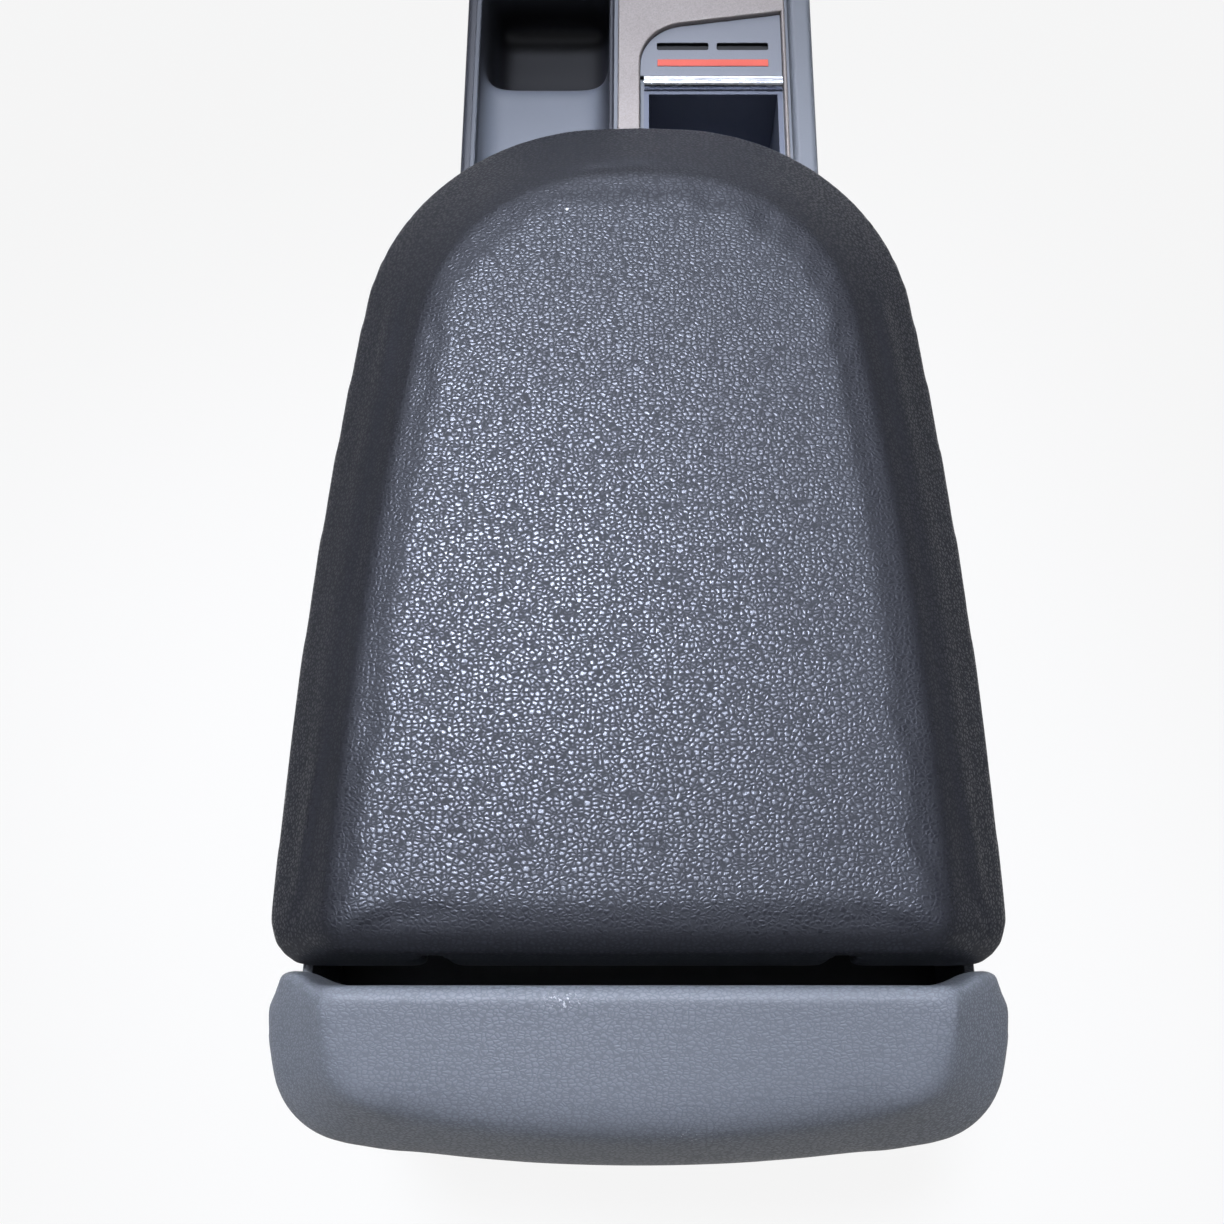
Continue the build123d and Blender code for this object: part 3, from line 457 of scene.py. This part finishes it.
# Cast polyurethane skin: dark pebbles that catch the light on their crests, with a bluish sheen.
LID_SKIN = GrainedSurface(
    "polyurethane_skin_pebbled", "#1e1e23", "#0b0b0e", Grain.PEBBLE, pitch=1.5, depth=0.08, roughness=0.34,
    valley_roughness=0.7, specular=0.62, shine="#f2f5ff", layer=0.7, calm=(-188.0, -176.0),
    marks=(
        Mark((-110.8, -139.0, 170.0), (3.0, 6.0, 4.0), "#b6b2ac", fleck=1.2, cover=0.62),
        Mark((6.1, -156.0, 200.0), (3.2, 3.0, 3.0), "#0c0c0e", fleck=1.4, cover=0.55, depth=-1.2),
        Mark((0.5, -168.5, 200.0), (2.2, 3.6, 3.0), "#101013", fleck=1.0, cover=0.5, depth=-0.8),
        Mark((-24.0, 55.0, 200.0), (0.7, 0.7, 3.0), "#d9d9d6", fleck=1.0, cover=0.9),
    ),
)
# Moulded polypropylene: mid grey, a low wrinkled grain that greys the highlights.
GREY_PLASTIC = GrainedSurface(
    "polypropylene_grained_grey", "#73767c", "#616469", Grain.HIDE, pitch=1.3, depth=0.1, roughness=0.44,
    valley_roughness=0.6, specular=0.45,
    marks=(
        Mark((-21.0, -198.5, 199.0), (7.0, 3.0, 4.0), "#b4b5b8", fleck=0.9, cover=0.38),
        Mark((12.0, -236.0, 186.0), (22.0, 5.0, 9.0), "#d8d8d8", fleck=0.7, cover=0.22),
    ),
)
# Moulded ABS in dark blue-grey: smooth and even, with a fine spark texture; painted shade darkens the well
# towards its floor and along its left and right sides.
TRAY_PLASTIC = GrainedSurface(
    "abs_spark_blue_grey", "#686c75", "#5f636b", Grain.SPARK, pitch=0.7, depth=0.03, roughness=0.42,
    valley_roughness=0.5,
    fades=(
        PaintedShade("Z", 117.0, 92.0, "#1b1a1e"), PaintedShade("X", -20.0, -11.0, "#34353c"), PaintedShade("X", -62.0, -68.5, "#55585f"),
    ),
)
# Moulded ABS in mid blue-grey, on the coin panel, with painted shade that darkens the coin slots below its top
# face.
PANEL_PLASTIC = GrainedSurface(
    "abs_spark_mid_grey", "#7f8188", "#74767d", Grain.SPARK, pitch=0.7, depth=0.03, roughness=0.45,
    valley_roughness=0.55,
    fades=(PaintedShade("Z", 131.7, 131.2, "#0b0b0d"),),
)
# Moulded ABS in mid grey with a fine spark texture: the deck, with painted shade along its rim by the tray.
DECK_PLASTIC = GrainedSurface(
    "abs_spark_deck_grey", "#777a80", "#6d7076", Grain.SPARK, pitch=0.8, depth=0.04, roughness=0.45,
    valley_roughness=0.55,
    fades=(PaintedShade("X", -66.0, -69.5, "#3a3b42"),),
)
# Moulded ABS in navy: the pocket, so deep that little light reaches its walls; its colour is lightened as painted
# light on them.
POCKET_PLASTIC = GrainedSurface(
    "abs_spark_navy_lightened", "#6a6f7e", "#5d6270", Grain.SPARK, pitch=0.8, depth=0.03, roughness=0.5,
    valley_roughness=0.6,
)
# Filled polypropylene in black for what hides under the lid: dull, with faint flow patches.
BLACK_PLASTIC = GrainedSurface(
    "polypropylene_spark_black", "#1c1c1f", "#131315", Grain.SPARK, pitch=0.8, depth=0.03, roughness=0.48,
    valley_roughness=0.6,
)
# Moulded rubber: black and dull, greyed by a little bloom.
RUBBER = GrainedSurface(
    "rubber_moulded_black", "#161617", "#222224", Grain.SPARK, pitch=1.0, depth=0.04, roughness=0.75,
    valley_roughness=0.85,
    specular=0.3,
)
# Natural nylon: milky off-white.
NYLON = GrainedSurface(
    "nylon_natural", "#d3d0c2", "#c3bfae", Grain.SPARK, pitch=0.8, depth=0.02, roughness=0.4,
    valley_roughness=0.5, patch=8.0,
)
# Moulded ABS in red: even coral with a soft gloss.
RED_PLASTIC = GrainedSurface(
    "abs_gloss_coral_red", "#e4604c", "#d65240", Grain.SPARK, pitch=0.9, depth=0.01, roughness=0.28,
    valley_roughness=0.34,
    patch=14.0,
)
# Satin lacquer with metal flakes: light taupe that turns silver in the light.
TRIM_PAINT = FlakePaint("satin_lacquer_taupe_silver", "#9c938e", "#857d79", roughness=0.36)
# Chrome plating on plastic: bright and cool, with faint wipe marks.
CHROME = MetalSurface("chrome_plate_bright", "#e2e4e8", "#cfd2d8", roughness=0.24, depth=0.001)
# Zinc-plated pressed steel: grey with drawn lines and dull stains.
ZINC_STEEL = MetalSurface("zinc_plated_steel", "#a3a5a8", "#8b8c8e", roughness=0.38)


def link_mesh(name: str, source: bmesh.types.BMesh) -> bpy.types.Object:
    """Turn a bmesh into an object in the scene.

    Args:
        name: Name of the piece.
        source: Its bmesh, in metres, which is freed.

    Returns:
        The object, at the origin.
    """
    mesh = bpy.data.meshes.new(name)
    source.to_mesh(mesh)
    source.free()
    made = bpy.data.objects.new(name, mesh)
    bpy.context.scene.collection.objects.link(made)
    return made


def bake(piece: bpy.types.Object) -> None:
    """Make a piece's modifiers part of its mesh.

    Args:
        piece: Object whose modifiers are applied and removed.
    """
    graph = bpy.context.evaluated_depsgraph_get()
    mesh = bpy.data.meshes.new_from_object(piece.evaluated_get(graph))
    piece.modifiers.clear()
    piece.data = mesh


def shade_smooth(piece: bpy.types.Object) -> None:
    """Shade all faces of a piece as one smooth surface."""
    piece.data.polygons.foreach_set("use_smooth", [True] * len(piece.data.polygons))


def dress(piece: bpy.types.Object, material: bpy.types.Material) -> bpy.types.Object:
    """Give a piece one material all over.

    Args:
        piece: New piece or CAD node.
        material: Its finish.

    Returns:
        The same piece.
    """
    if not piece.material_slots:
        piece.data.materials.append(material)
    for holder in piece.material_slots:
        holder.material = material
    return piece


def even_copy(node: str, name: str, voxel: float) -> bpy.types.Object:
    """Copy a CAD node's form as an even mesh.

    Args:
        node: The CAD node.
        name: Name of the piece.
        voxel: Spacing of the even mesh, millimetres.

    Returns:
        The piece, whose points lie on the node's surface.
    """
    form = bmesh.new()
    form.from_mesh(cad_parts[node].data)
    bmesh.ops.remove_doubles(form, verts=form.verts, dist=0.01 * MM)
    piece = link_mesh(name, form)
    even = piece.modifiers.new("even_mesh", "REMESH")
    even.mode = "VOXEL"
    even.voxel_size = voxel * MM
    hug = piece.modifiers.new("hug_form", "SHRINKWRAP")
    hug.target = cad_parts[node]
    bake(piece)
    return piece


@dataclass(frozen=True)
class Zone:
    """Box of a moulding inside which its edges are softened."""

    low: Point                   # millimetres
    high: Point
    passes: int

    def holds(self, spot: Vector) -> bool:
        """Tell whether a point in metres lies in the zone."""
        return all(a * MM <= v <= b * MM for a, v, b in zip(self.low, spot, self.high))


def soften(piece: bpy.types.Object, zones: tuple[Zone, ...]) -> None:
    """Soften the edges of a piece inside its zones.

    Args:
        piece: Piece with an even mesh.
        zones: Zones, worked one after the other.
    """
    work = bmesh.new()
    work.from_mesh(piece.data)
    for zone in zones:
        soft = [v for v in work.verts if zone.holds(v.co)]
        for _ in range(zone.passes):
            bmesh.ops.smooth_vert(
                work, verts=soft, factor=0.5, use_axis_x=True, use_axis_y=True, use_axis_z=True,
            )
    work.to_mesh(piece.data)
    work.free()
    shade_smooth(piece)


@dataclass
class SoftMoulding:
    """Rigid moulding whose edges run out in soft curves."""

    node: str
    name: str
    slot: str
    finish: Finish
    zones: tuple[Zone, ...]
    voxel: float = 1.5           # millimetres

    def build(self) -> Iterator[bpy.types.Object]:
        """Build the moulding from its CAD form.

        Returns:
            The moulding.
        """
        piece = even_copy(self.node, self.name, self.voxel)
        soften(piece, self.zones)
        dress(piece, self.finish.shared())
        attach(piece, Body.CONSOLE.value)
        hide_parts(self.node)
        yield piece


@dataclass
class NodeDresser:
    """Sub-assembly whose CAD nodes keep their shape and get a finish."""

    finishes: dict[str, Finish]

    def build(self) -> Iterator[bpy.types.Object]:
        """Dress each node with its finish.

        Returns:
            The nodes, one by one.
        """
        for node, finish in self.finishes.items():
            yield dress(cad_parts[node], finish.shared())


@dataclass
class PaddedLid:
    """Foam pad with its grained skin, swelled a little by the foam under it."""

    voxel: float = 2.8           # spacing of the even mesh, millimetres
    smoothing: int = 2           # passes
    rise: float = 0.7            # most that the skin swells, millimetres
    held_below: float = 172.0    # height below which the skin is fixed to the frame, millimetres
    free_above: float = 186.0    # height above which it is free, millimetres
    facing: float = 0.35         # skin that faces up less than this is held more and more
    pressure: float = 4.0        # of the foam
    tension: float = 40.0        # stiffness of the skin against stretch
    bending: float = 4.0         # stiffness of the skin against bends
    quality: int = 5             # steps in one frame
    frames: int = 16
    ear_spot: float = 60.0       # hinge ears beside the centre line, millimetres
    slot_low: Point = (-3.6, -196.0, 158.0)      # corners of an ear's slot round its ear, millimetres
    slot_high: Point = (3.6, -163.75, 189.5)
    finish: Finish = LID_SKIN

    def build(self) -> Iterator[bpy.types.Object]:
        """Build the pad from the CAD solid's form.

        Returns:
            The finished pad.
        """
        pad = even_copy("lid_pad", "padded_lid", self.voxel)
        whole = Zone((-300.0,) * 3, (300.0,) * 3, self.smoothing)
        soften(pad, (whole,))
        self.swell(pad)
        finer = pad.modifiers.new("fine_mesh", "SUBSURF")
        finer.levels = finer.render_levels = 1
        bake(pad)
        self.cut_slots(pad)
        shade_smooth(pad)
        dress(pad, self.finish.shared())
        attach(pad, Body.LID.value)
        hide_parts("lid_pad")
        yield pad

    def cut_slots(self, pad: bpy.types.Object) -> None:
        """Cut the slots that let the hinge ears swing.

        Args:
            pad: The pad, whose mesh gets the slots.
        """
        low, high = Vector(self.slot_low) * MM, Vector(self.slot_high) * MM
        form = bmesh.new()
        for side in (-1, 1):
            ear = Vector((side * self.ear_spot * MM, 0.0, 0.0))
            spot = Matrix.Translation((low + high) / 2 + ear)
            bmesh.ops.create_cube(form, size=1.0, matrix=spot @ Matrix.Diagonal((*(high - low), 1.0)))
        cutter = link_mesh("ear_slot_cutter", form)
        slots = pad.modifiers.new("ear_slots", "BOOLEAN")
        slots.operation = "DIFFERENCE"
        slots.solver = "EXACT"
        slots.object = cutter
        bake(pad)
        bpy.data.objects.remove(cutter)

    def swell(self, pad: bpy.types.Object) -> None:
        """Swell the skin with a cloth simulation, and cap how far each point moves.

        Args:
            pad: The pad, whose mesh takes the swelled shape.
        """
        rest = [v.co.copy() for v in pad.data.vertices]
        held = pad.vertex_groups.new(name="held")
        span = self.free_above - self.held_below
        for vertex in pad.data.vertices:
            low = (self.free_above - vertex.co.z / MM) / span
            inner = (self.facing - vertex.normal.z) / self.facing
            held.add([vertex.index], min(max(low, inner, 0.0), 1.0), "REPLACE")
        cloth = pad.modifiers.new("foam", "CLOTH")
        cloth.settings.vertex_group_mass = held.name
        cloth.settings.use_pressure = True
        cloth.settings.uniform_pressure_force = self.pressure
        cloth.settings.effector_weights.gravity = 0.0
        cloth.settings.tension_stiffness = cloth.settings.compression_stiffness = self.tension
        cloth.settings.bending_stiffness = self.bending
        cloth.settings.quality = self.quality
        cloth.point_cache.frame_start = 1
        cloth.point_cache.frame_end = self.frames
        for step in range(1, self.frames + 1):
            bpy.context.scene.frame_set(step)
        bake(pad)
        bpy.context.scene.frame_set(1)
        moves = [v.co - r for v, r in zip(pad.data.vertices, rest)]
        LOG.info("cloth moved a point by up to %.2f mm", max(m.length for m in moves) / MM)
        limit = self.rise * MM
        for vertex, start, move in zip(pad.data.vertices, rest, moves):
            vertex.co = start + move * (limit / max(move.length, limit))


@dataclass
class LatchSpring:
    """Torsion spring of the latch, wound from round wire."""

    wire: float = 1.1            # millimetres
    turns: int = 11
    steps: int = 18              # in one turn
    sides: int = 8               # of the wire

    def build(self) -> Iterator[bpy.types.Object]:
        """Wind the spring in the place of its CAD node.

        Returns:
            The spring.
        """
        low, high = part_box("latch_spring")
        middle = (low + high) / 2
        wire = self.wire * MM
        radius = (high.z - low.z - wire) / 2
        count = self.turns * self.steps
        start = Vector((low.x + wire / 2, middle.y, middle.z + radius))
        form = bmesh.new()
        bmesh.ops.create_circle(
            form, cap_ends=True, segments=self.sides, radius=wire / 2,
            matrix=Matrix.Translation(start) @ Matrix.Rotation(math.pi / 2, 4, "X"),
        )
        bmesh.ops.spin(
            form, geom=form.verts[:] + form.edges[:] + form.faces[:], cent=middle, axis=(1.0, 0.0, 0.0),
            dvec=((high.x - low.x - wire) / count, 0.0, 0.0), angle=2 * math.pi * self.turns, steps=count,
        )
        bmesh.ops.recalc_face_normals(form, faces=form.faces)
        spring = link_mesh("wound_latch_spring", form)
        shade_smooth(spring)
        dress(spring, ZINC_STEEL.shared())
        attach(spring, Body.LID.value)
        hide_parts("latch_spring")
        yield spring


@dataclass
class LinerScrews:
    """Pan-head screws of the lid's liner, with six-lobed recesses."""

    spots: tuple[Span, ...] = ((78.0, -140.75), (70.0, -48.75), (52.0, 33.25))   # of one side, millimetres
    head_radius: float = 3.2     # millimetres, as the next five
    head_height: float = 1.4
    head_round: float = 0.6
    shank_radius: float = 1.5
    recess_radius: float = 1.45
    recess_depth: float = 0.9
    lobes: int = 6
    lobe: float = 0.2            # share by which the recess's radius swings
    head_sides: int = 24
    shank_sides: int = 16

    def screw(self, form: bmesh.types.BMesh, place: Vector, length: float) -> None:
        """Add one screw.

        Args:
            form: Mesh that gets the screw, in metres.
            place: Middle of the head's underside seat.
            length: Length of the shank.
        """
        seat = Matrix.Translation(place)
        ring = bmesh.ops.create_circle(
            form, cap_ends=True, segments=self.head_sides, radius=self.head_radius * MM, matrix=seat,
        )
        face = ring["verts"][0].link_faces[0]
        grown = bmesh.ops.extrude_face_region(form, geom=[face])["geom"]
        lower = [v for v in grown if isinstance(v, bmesh.types.BMVert)]
        bmesh.ops.translate(form, verts=lower, vec=(0.0, 0.0, -self.head_height * MM))
        rim = [e for e in grown if isinstance(e, bmesh.types.BMEdge)]
        bmesh.ops.bevel(
            form, geom=rim, offset=self.head_round * MM, offset_type="OFFSET", segments=ROUND_STEPS, profile=0.5,
            affect="EDGES", material=-1,
        )
        central = [f for f in form.faces if (f.calc_center_median() - place).xy.length <= MM]
        bottom = min(central, key=lambda f: f.calc_center_median().z)
        gap = (self.head_radius - self.head_round - self.recess_radius) * MM
        bmesh.ops.inset_individual(form, faces=[bottom], thickness=gap)
        sunk = bmesh.ops.extrude_discrete_faces(form, faces=[bottom])["faces"][0]
        for vertex in sunk.verts:
            arm = (vertex.co - place).xy
            swing = 1 + self.lobe * math.cos(self.lobes * math.atan2(arm.y, arm.x))
            sunk_by = (self.recess_depth - self.head_height) * MM
            vertex.co = place + Vector((arm.x * swing, arm.y * swing, sunk_by))
        shank = bmesh.ops.create_circle(
            form, cap_ends=True, segments=self.shank_sides, radius=self.shank_radius * MM, matrix=seat,
        )
        stem = bmesh.ops.extrude_face_region(form, geom=[shank["verts"][0].link_faces[0]])["geom"]
        bmesh.ops.translate(
            form, verts=[v for v in stem if isinstance(v, bmesh.types.BMVert)], vec=(0.0, 0.0, length),
        )

    def build(self) -> Iterator[bpy.types.Object]:
        """Build the six screws as one piece.

        Returns:
            The screws.
        """
        low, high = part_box("liner_screws")
        seat = low.z + self.head_height * MM
        form = bmesh.new()
        for x, y in self.spots:
            for side in (-1, 1):
                self.screw(form, Vector((side * x * MM, y * MM, seat)), high.z - seat)
        bmesh.ops.recalc_face_normals(form, faces=form.faces)
        screws = link_mesh("lobed_liner_screws", form)
        dress(screws, ZINC_STEEL.shared())
        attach(screws, Body.LID.value)
        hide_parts("liner_screws")
        yield screws


@dataclass
class MatRibs:
    """Raised ribs on the bin's rubber mat."""

    pitch: float = 8.0           # millimetres, as all of these
    width: float = 3.0
    height: float = 1.0
    edge_round: float = 0.45
    margin: float = 12.0         # first rib ahead of the mat's rear edge
    rear_half: float = 72.0      # half length of the first rib
    front_half: float = 50.0     # half length of the last rib

    def build(self) -> Iterator[bpy.types.Object]:
        """Lay the ribs across the mat.

        Returns:
            The ribs, as one piece.
        """
        low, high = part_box("bin_mat")
        first = low.y + self.margin * MM
        room = high.y - low.y - 2 * self.margin * MM
        count = int(room / (self.pitch * MM))
        form = bmesh.new()
        for i in range(count + 1):
            share = i / count
            half = self.rear_half + (self.front_half - self.rear_half) * share
            spot = Matrix.Translation((0.0, first + room * share, high.z + self.height * MM / 2))
            size = Matrix.Diagonal((2 * half * MM, self.width * MM, self.height * MM, 1.0))
            bmesh.ops.create_cube(form, size=1.0, matrix=spot @ size)
        crests = [e for e in form.edges if all(v.co.z > high.z + self.height * MM / 2 for v in e.verts)]
        bmesh.ops.bevel(
            form, geom=crests, offset=self.edge_round * MM, offset_type="OFFSET", segments=ROUND_STEPS,
            profile=0.5, affect="EDGES", material=-1,
        )
        ribs = link_mesh("bin_mat_ribs", form)
        dress(ribs, RUBBER.shared())
        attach(ribs, Body.CONSOLE.value)
        yield ribs


@dataclass
class Studio:
    """Camera, pale floor and soft light."""

    eye: Point = (0.0, -194.75, 555.0)            # millimetres, as all places and sizes
    pitch: float = 73.0          # degrees below the horizon
    lens: float = 36.09
    sensor: float = 36.0
    image: float = 1224.0        # picture's width, pixels
    centre_line: float = 638.5   # picture column of the object's centre line
    key_place: Point = (-40.0, 430.0, 1400.0)
    key_target: Point = (-42.0, -60.0, 200.0)
    key_size: float = 1250.0
    key_power: float = 2.75      # watts, as all powers
    hot_place: Point = (-183.0, 269.0, 1370.0)
    hot_target: Point = (-42.0, -89.0, 200.0)
    hot_size: float = 520.0
    hot_power: float = 1.7
    hot_spread: float = 18.0     # degrees, held in by a honeycomb grid
    front_place: Point = (0.0, 1500.0, 950.0)
    front_size: float = 700.0
    front_power: float = 6.5
    lamp_colour: str = "#e8efff"
    sky: float = 0.15            # strength of the light from all round
    backdrop: float = 0.22       # grey that the camera and shiny surfaces see all round
    floor_glow: float = 0.9      # share of white that the camera and shiny surfaces see in the floor
    floor_half: Point = (372.0, 640.0, 0.0)
    floor_cloud: float = 333.0   # width of the floor's faint clouds

    def lamp(
        self, name: str, place: Point, target: Point, size: float, power: float, spread: float = 180.0,
    ) -> bpy.types.Object:
        """Add a soft lamp.

        Args:
            name: Lamp's name.
            place: Its centre, millimetres.
            target: Point that it faces, millimetres.
            size: Its side, millimetres.
            power: Its power in watts.
            spread: Angle of its light, degrees.

        Returns:
            The lamp.
        """
        data = bpy.data.lights.new(name, "AREA")
        data.shape = "SQUARE"
        data.size = size * MM
        data.energy = power
        data.spread = math.radians(spread)
        data.color = srgb(self.lamp_colour)[:3]
        made = bpy.data.objects.new(name, data)
        made.location = Vector(place) * MM
        made.rotation_euler = (Vector(target) - Vector(place)).to_track_quat("-Z", "Y").to_euler()
        bpy.context.scene.collection.objects.link(made)
        return made

    def floor(self) -> bpy.types.Object:
        """Add the pale floor, which shows white and keeps the object's shadow."""
        form = bmesh.new()
        bmesh.ops.create_grid(form, x_segments=4, y_segments=4, size=1.0)
        bmesh.ops.scale(form, vec=Vector(self.floor_half) * MM, verts=form.verts)
        made = link_mesh("studio_floor", form)
        paper, tree, place, shader = start_material("studio_paper_white")
        cloud = noise(tree, place, self.floor_cloud).outputs[0]
        tree.links.new(mix_colours(tree, cloud, srgb("#b4b4b4"), srgb("#afafaf")), shader.inputs["Base Color"])
        shader.inputs["Roughness"].default_value = 0.9
        shader.inputs["Specular IOR Level"].default_value = 0.0
        share = combine(tree, "MULTIPLY", seen_rays(tree), self.floor_glow)
        white = add_node(tree, "ShaderNodeEmission", {"Color": srgb("#ffffff"), "Strength": 1.0})
        mixed = add_node(tree, "ShaderNodeMixShader", {0: share, 1: shader.outputs[0], 2: white.outputs[0]})
        output = next(n for n in tree.nodes if n.type == "OUTPUT_MATERIAL")
        tree.links.new(mixed.outputs[0], output.inputs["Surface"])
        dress(made, paper)
        return made

    def surround(self) -> None:
        """Add the soft light from all round."""
        world = bpy.data.worlds.new("soft_room")
        world.use_nodes = True
        tree = world.node_tree
        tree.nodes.clear()
        soft = add_node(tree, "ShaderNodeBackground", {"Color": srgb("#eef1f8"), "Strength": self.sky})
        pale = add_node(tree, "ShaderNodeBackground", {"Color": srgb("#f6f8fc"), "Strength": self.backdrop})
        inputs = {0: seen_rays(tree), 1: soft.outputs[0], 2: pale.outputs[0]}
        mixed = add_node(tree, "ShaderNodeMixShader", inputs)
        add_node(tree, "ShaderNodeOutputWorld", {"Surface": mixed.outputs[0]})
        bpy.context.scene.world = world

    def camera(self) -> bpy.types.Object:
        """Add the camera that looks down on the object from behind."""
        data = bpy.data.cameras.new("photo_camera")
        data.lens = self.lens
        data.sensor_width = self.sensor
        data.shift_x = (self.image / 2 - self.centre_line) / self.image
        data.clip_start = 0.01
        made = bpy.data.objects.new("photo_camera", data)
        made.location = Vector(self.eye) * MM
        made.rotation_euler = (math.radians(90 - self.pitch), 0.0, 0.0)
        bpy.context.scene.collection.objects.link(made)
        bpy.context.scene.camera = made
        return made

    def build(self) -> Iterator[bpy.types.Object]:
        """Set up the studio.

        Returns:
            The camera, the lamps and the floor.
        """
        bpy.context.scene.view_settings.view_transform = "Standard"
        yield self.camera()
        yield self.lamp("key_lamp", self.key_place, self.key_target, self.key_size, self.key_power)
        yield self.lamp(
            "hot_lamp", self.hot_place, self.hot_target, self.hot_size, self.hot_power, self.hot_spread,
        )
        yield self.lamp("front_lamp", self.front_place, self.key_target, self.front_size, self.front_power)
        self.surround()
        yield self.floor()


def main() -> None:
    """Build the studio and each sub-assembly."""
    logging.basicConfig(level=logging.INFO, format="%(message)s")
    lid_works = NodeDresser({
        "lid_frame": BLACK_PLASTIC, "lid_liner": BLACK_PLASTIC, "lid_buffers": RUBBER, "hinge_pin": ZINC_STEEL,
        "pin_caps": ZINC_STEEL, "latch_pin": ZINC_STEEL, "latch_lever": BLACK_PLASTIC,
    })
    console = NodeDresser({
        "right_side_panel": GREY_PLASTIC, "left_side_panel": GREY_PLASTIC, "front_panel": GREY_PLASTIC,
        "rear_panel": GREY_PLASTIC, "bin_rim": BLACK_PLASTIC, "storage_bin": BLACK_PLASTIC,
        "hinge_shelf": BLACK_PLASTIC, "bin_mat": RUBBER, "striker": ZINC_STEEL, "hinge_bracket": ZINC_STEEL,
        "hinge_bushes": NYLON, "bracket_rivets": ZINC_STEEL, "floor_feet": ZINC_STEEL, "foot_rivets": ZINC_STEEL,
    })
    deck = NodeDresser({
        "console_deck": DECK_PLASTIC, "pocket_liner": POCKET_PLASTIC, "trim_panel": TRIM_PAINT,
        "coin_panel": PANEL_PLASTIC, "accent_strip": RED_PLASTIC, "chrome_strip": CHROME,
    })
    cap = SoftMoulding("rear_cap", "rounded_rear_cap", "grey_plastic", GREY_PLASTIC, (
        Zone((-115.0, -250.0, 126.0), (115.0, -180.0, 210.0), 5),      # all edges
        Zone((-115.0, -250.0, 138.0), (115.0, -212.0, 210.0), 24),     # rear face
        Zone((-72.0, -250.0, 138.0), (72.0, -208.0, 210.0), 110),      # middle of the rear face
        Zone((-115.0, -250.0, 134.0), (115.0, -204.0, 210.0), 10),     # both once more
        Zone((-115.0, -208.0, 140.0), (-90.0, -180.0, 200.0), 16),     # left horn
        Zone((90.0, -208.0, 140.0), (115.0, -180.0, 200.0), 16),       # right horn
    ))
    tray = SoftMoulding("left_tray", "coved_left_tray", "tray_plastic", TRAY_PLASTIC, (
        Zone((-72.0, 84.0, 70.0), (-8.0, 240.0, 126.0), 180),          # cove of the well
        Zone((-72.0, 84.0, 70.0), (-8.0, 240.0, 129.0), 4),            # upper edges too
    ), voxel=1.0)
    assemblies = (
        Studio(), PaddedLid(), LatchSpring(), LinerScrews(), lid_works, cap, MatRibs(), console, tray, deck,
    )
    for assembly in assemblies:
        for piece in assembly.build():
            LOG.info("%s: %s", type(assembly).__name__, piece.name)


if __name__ == "__main__":
    main()
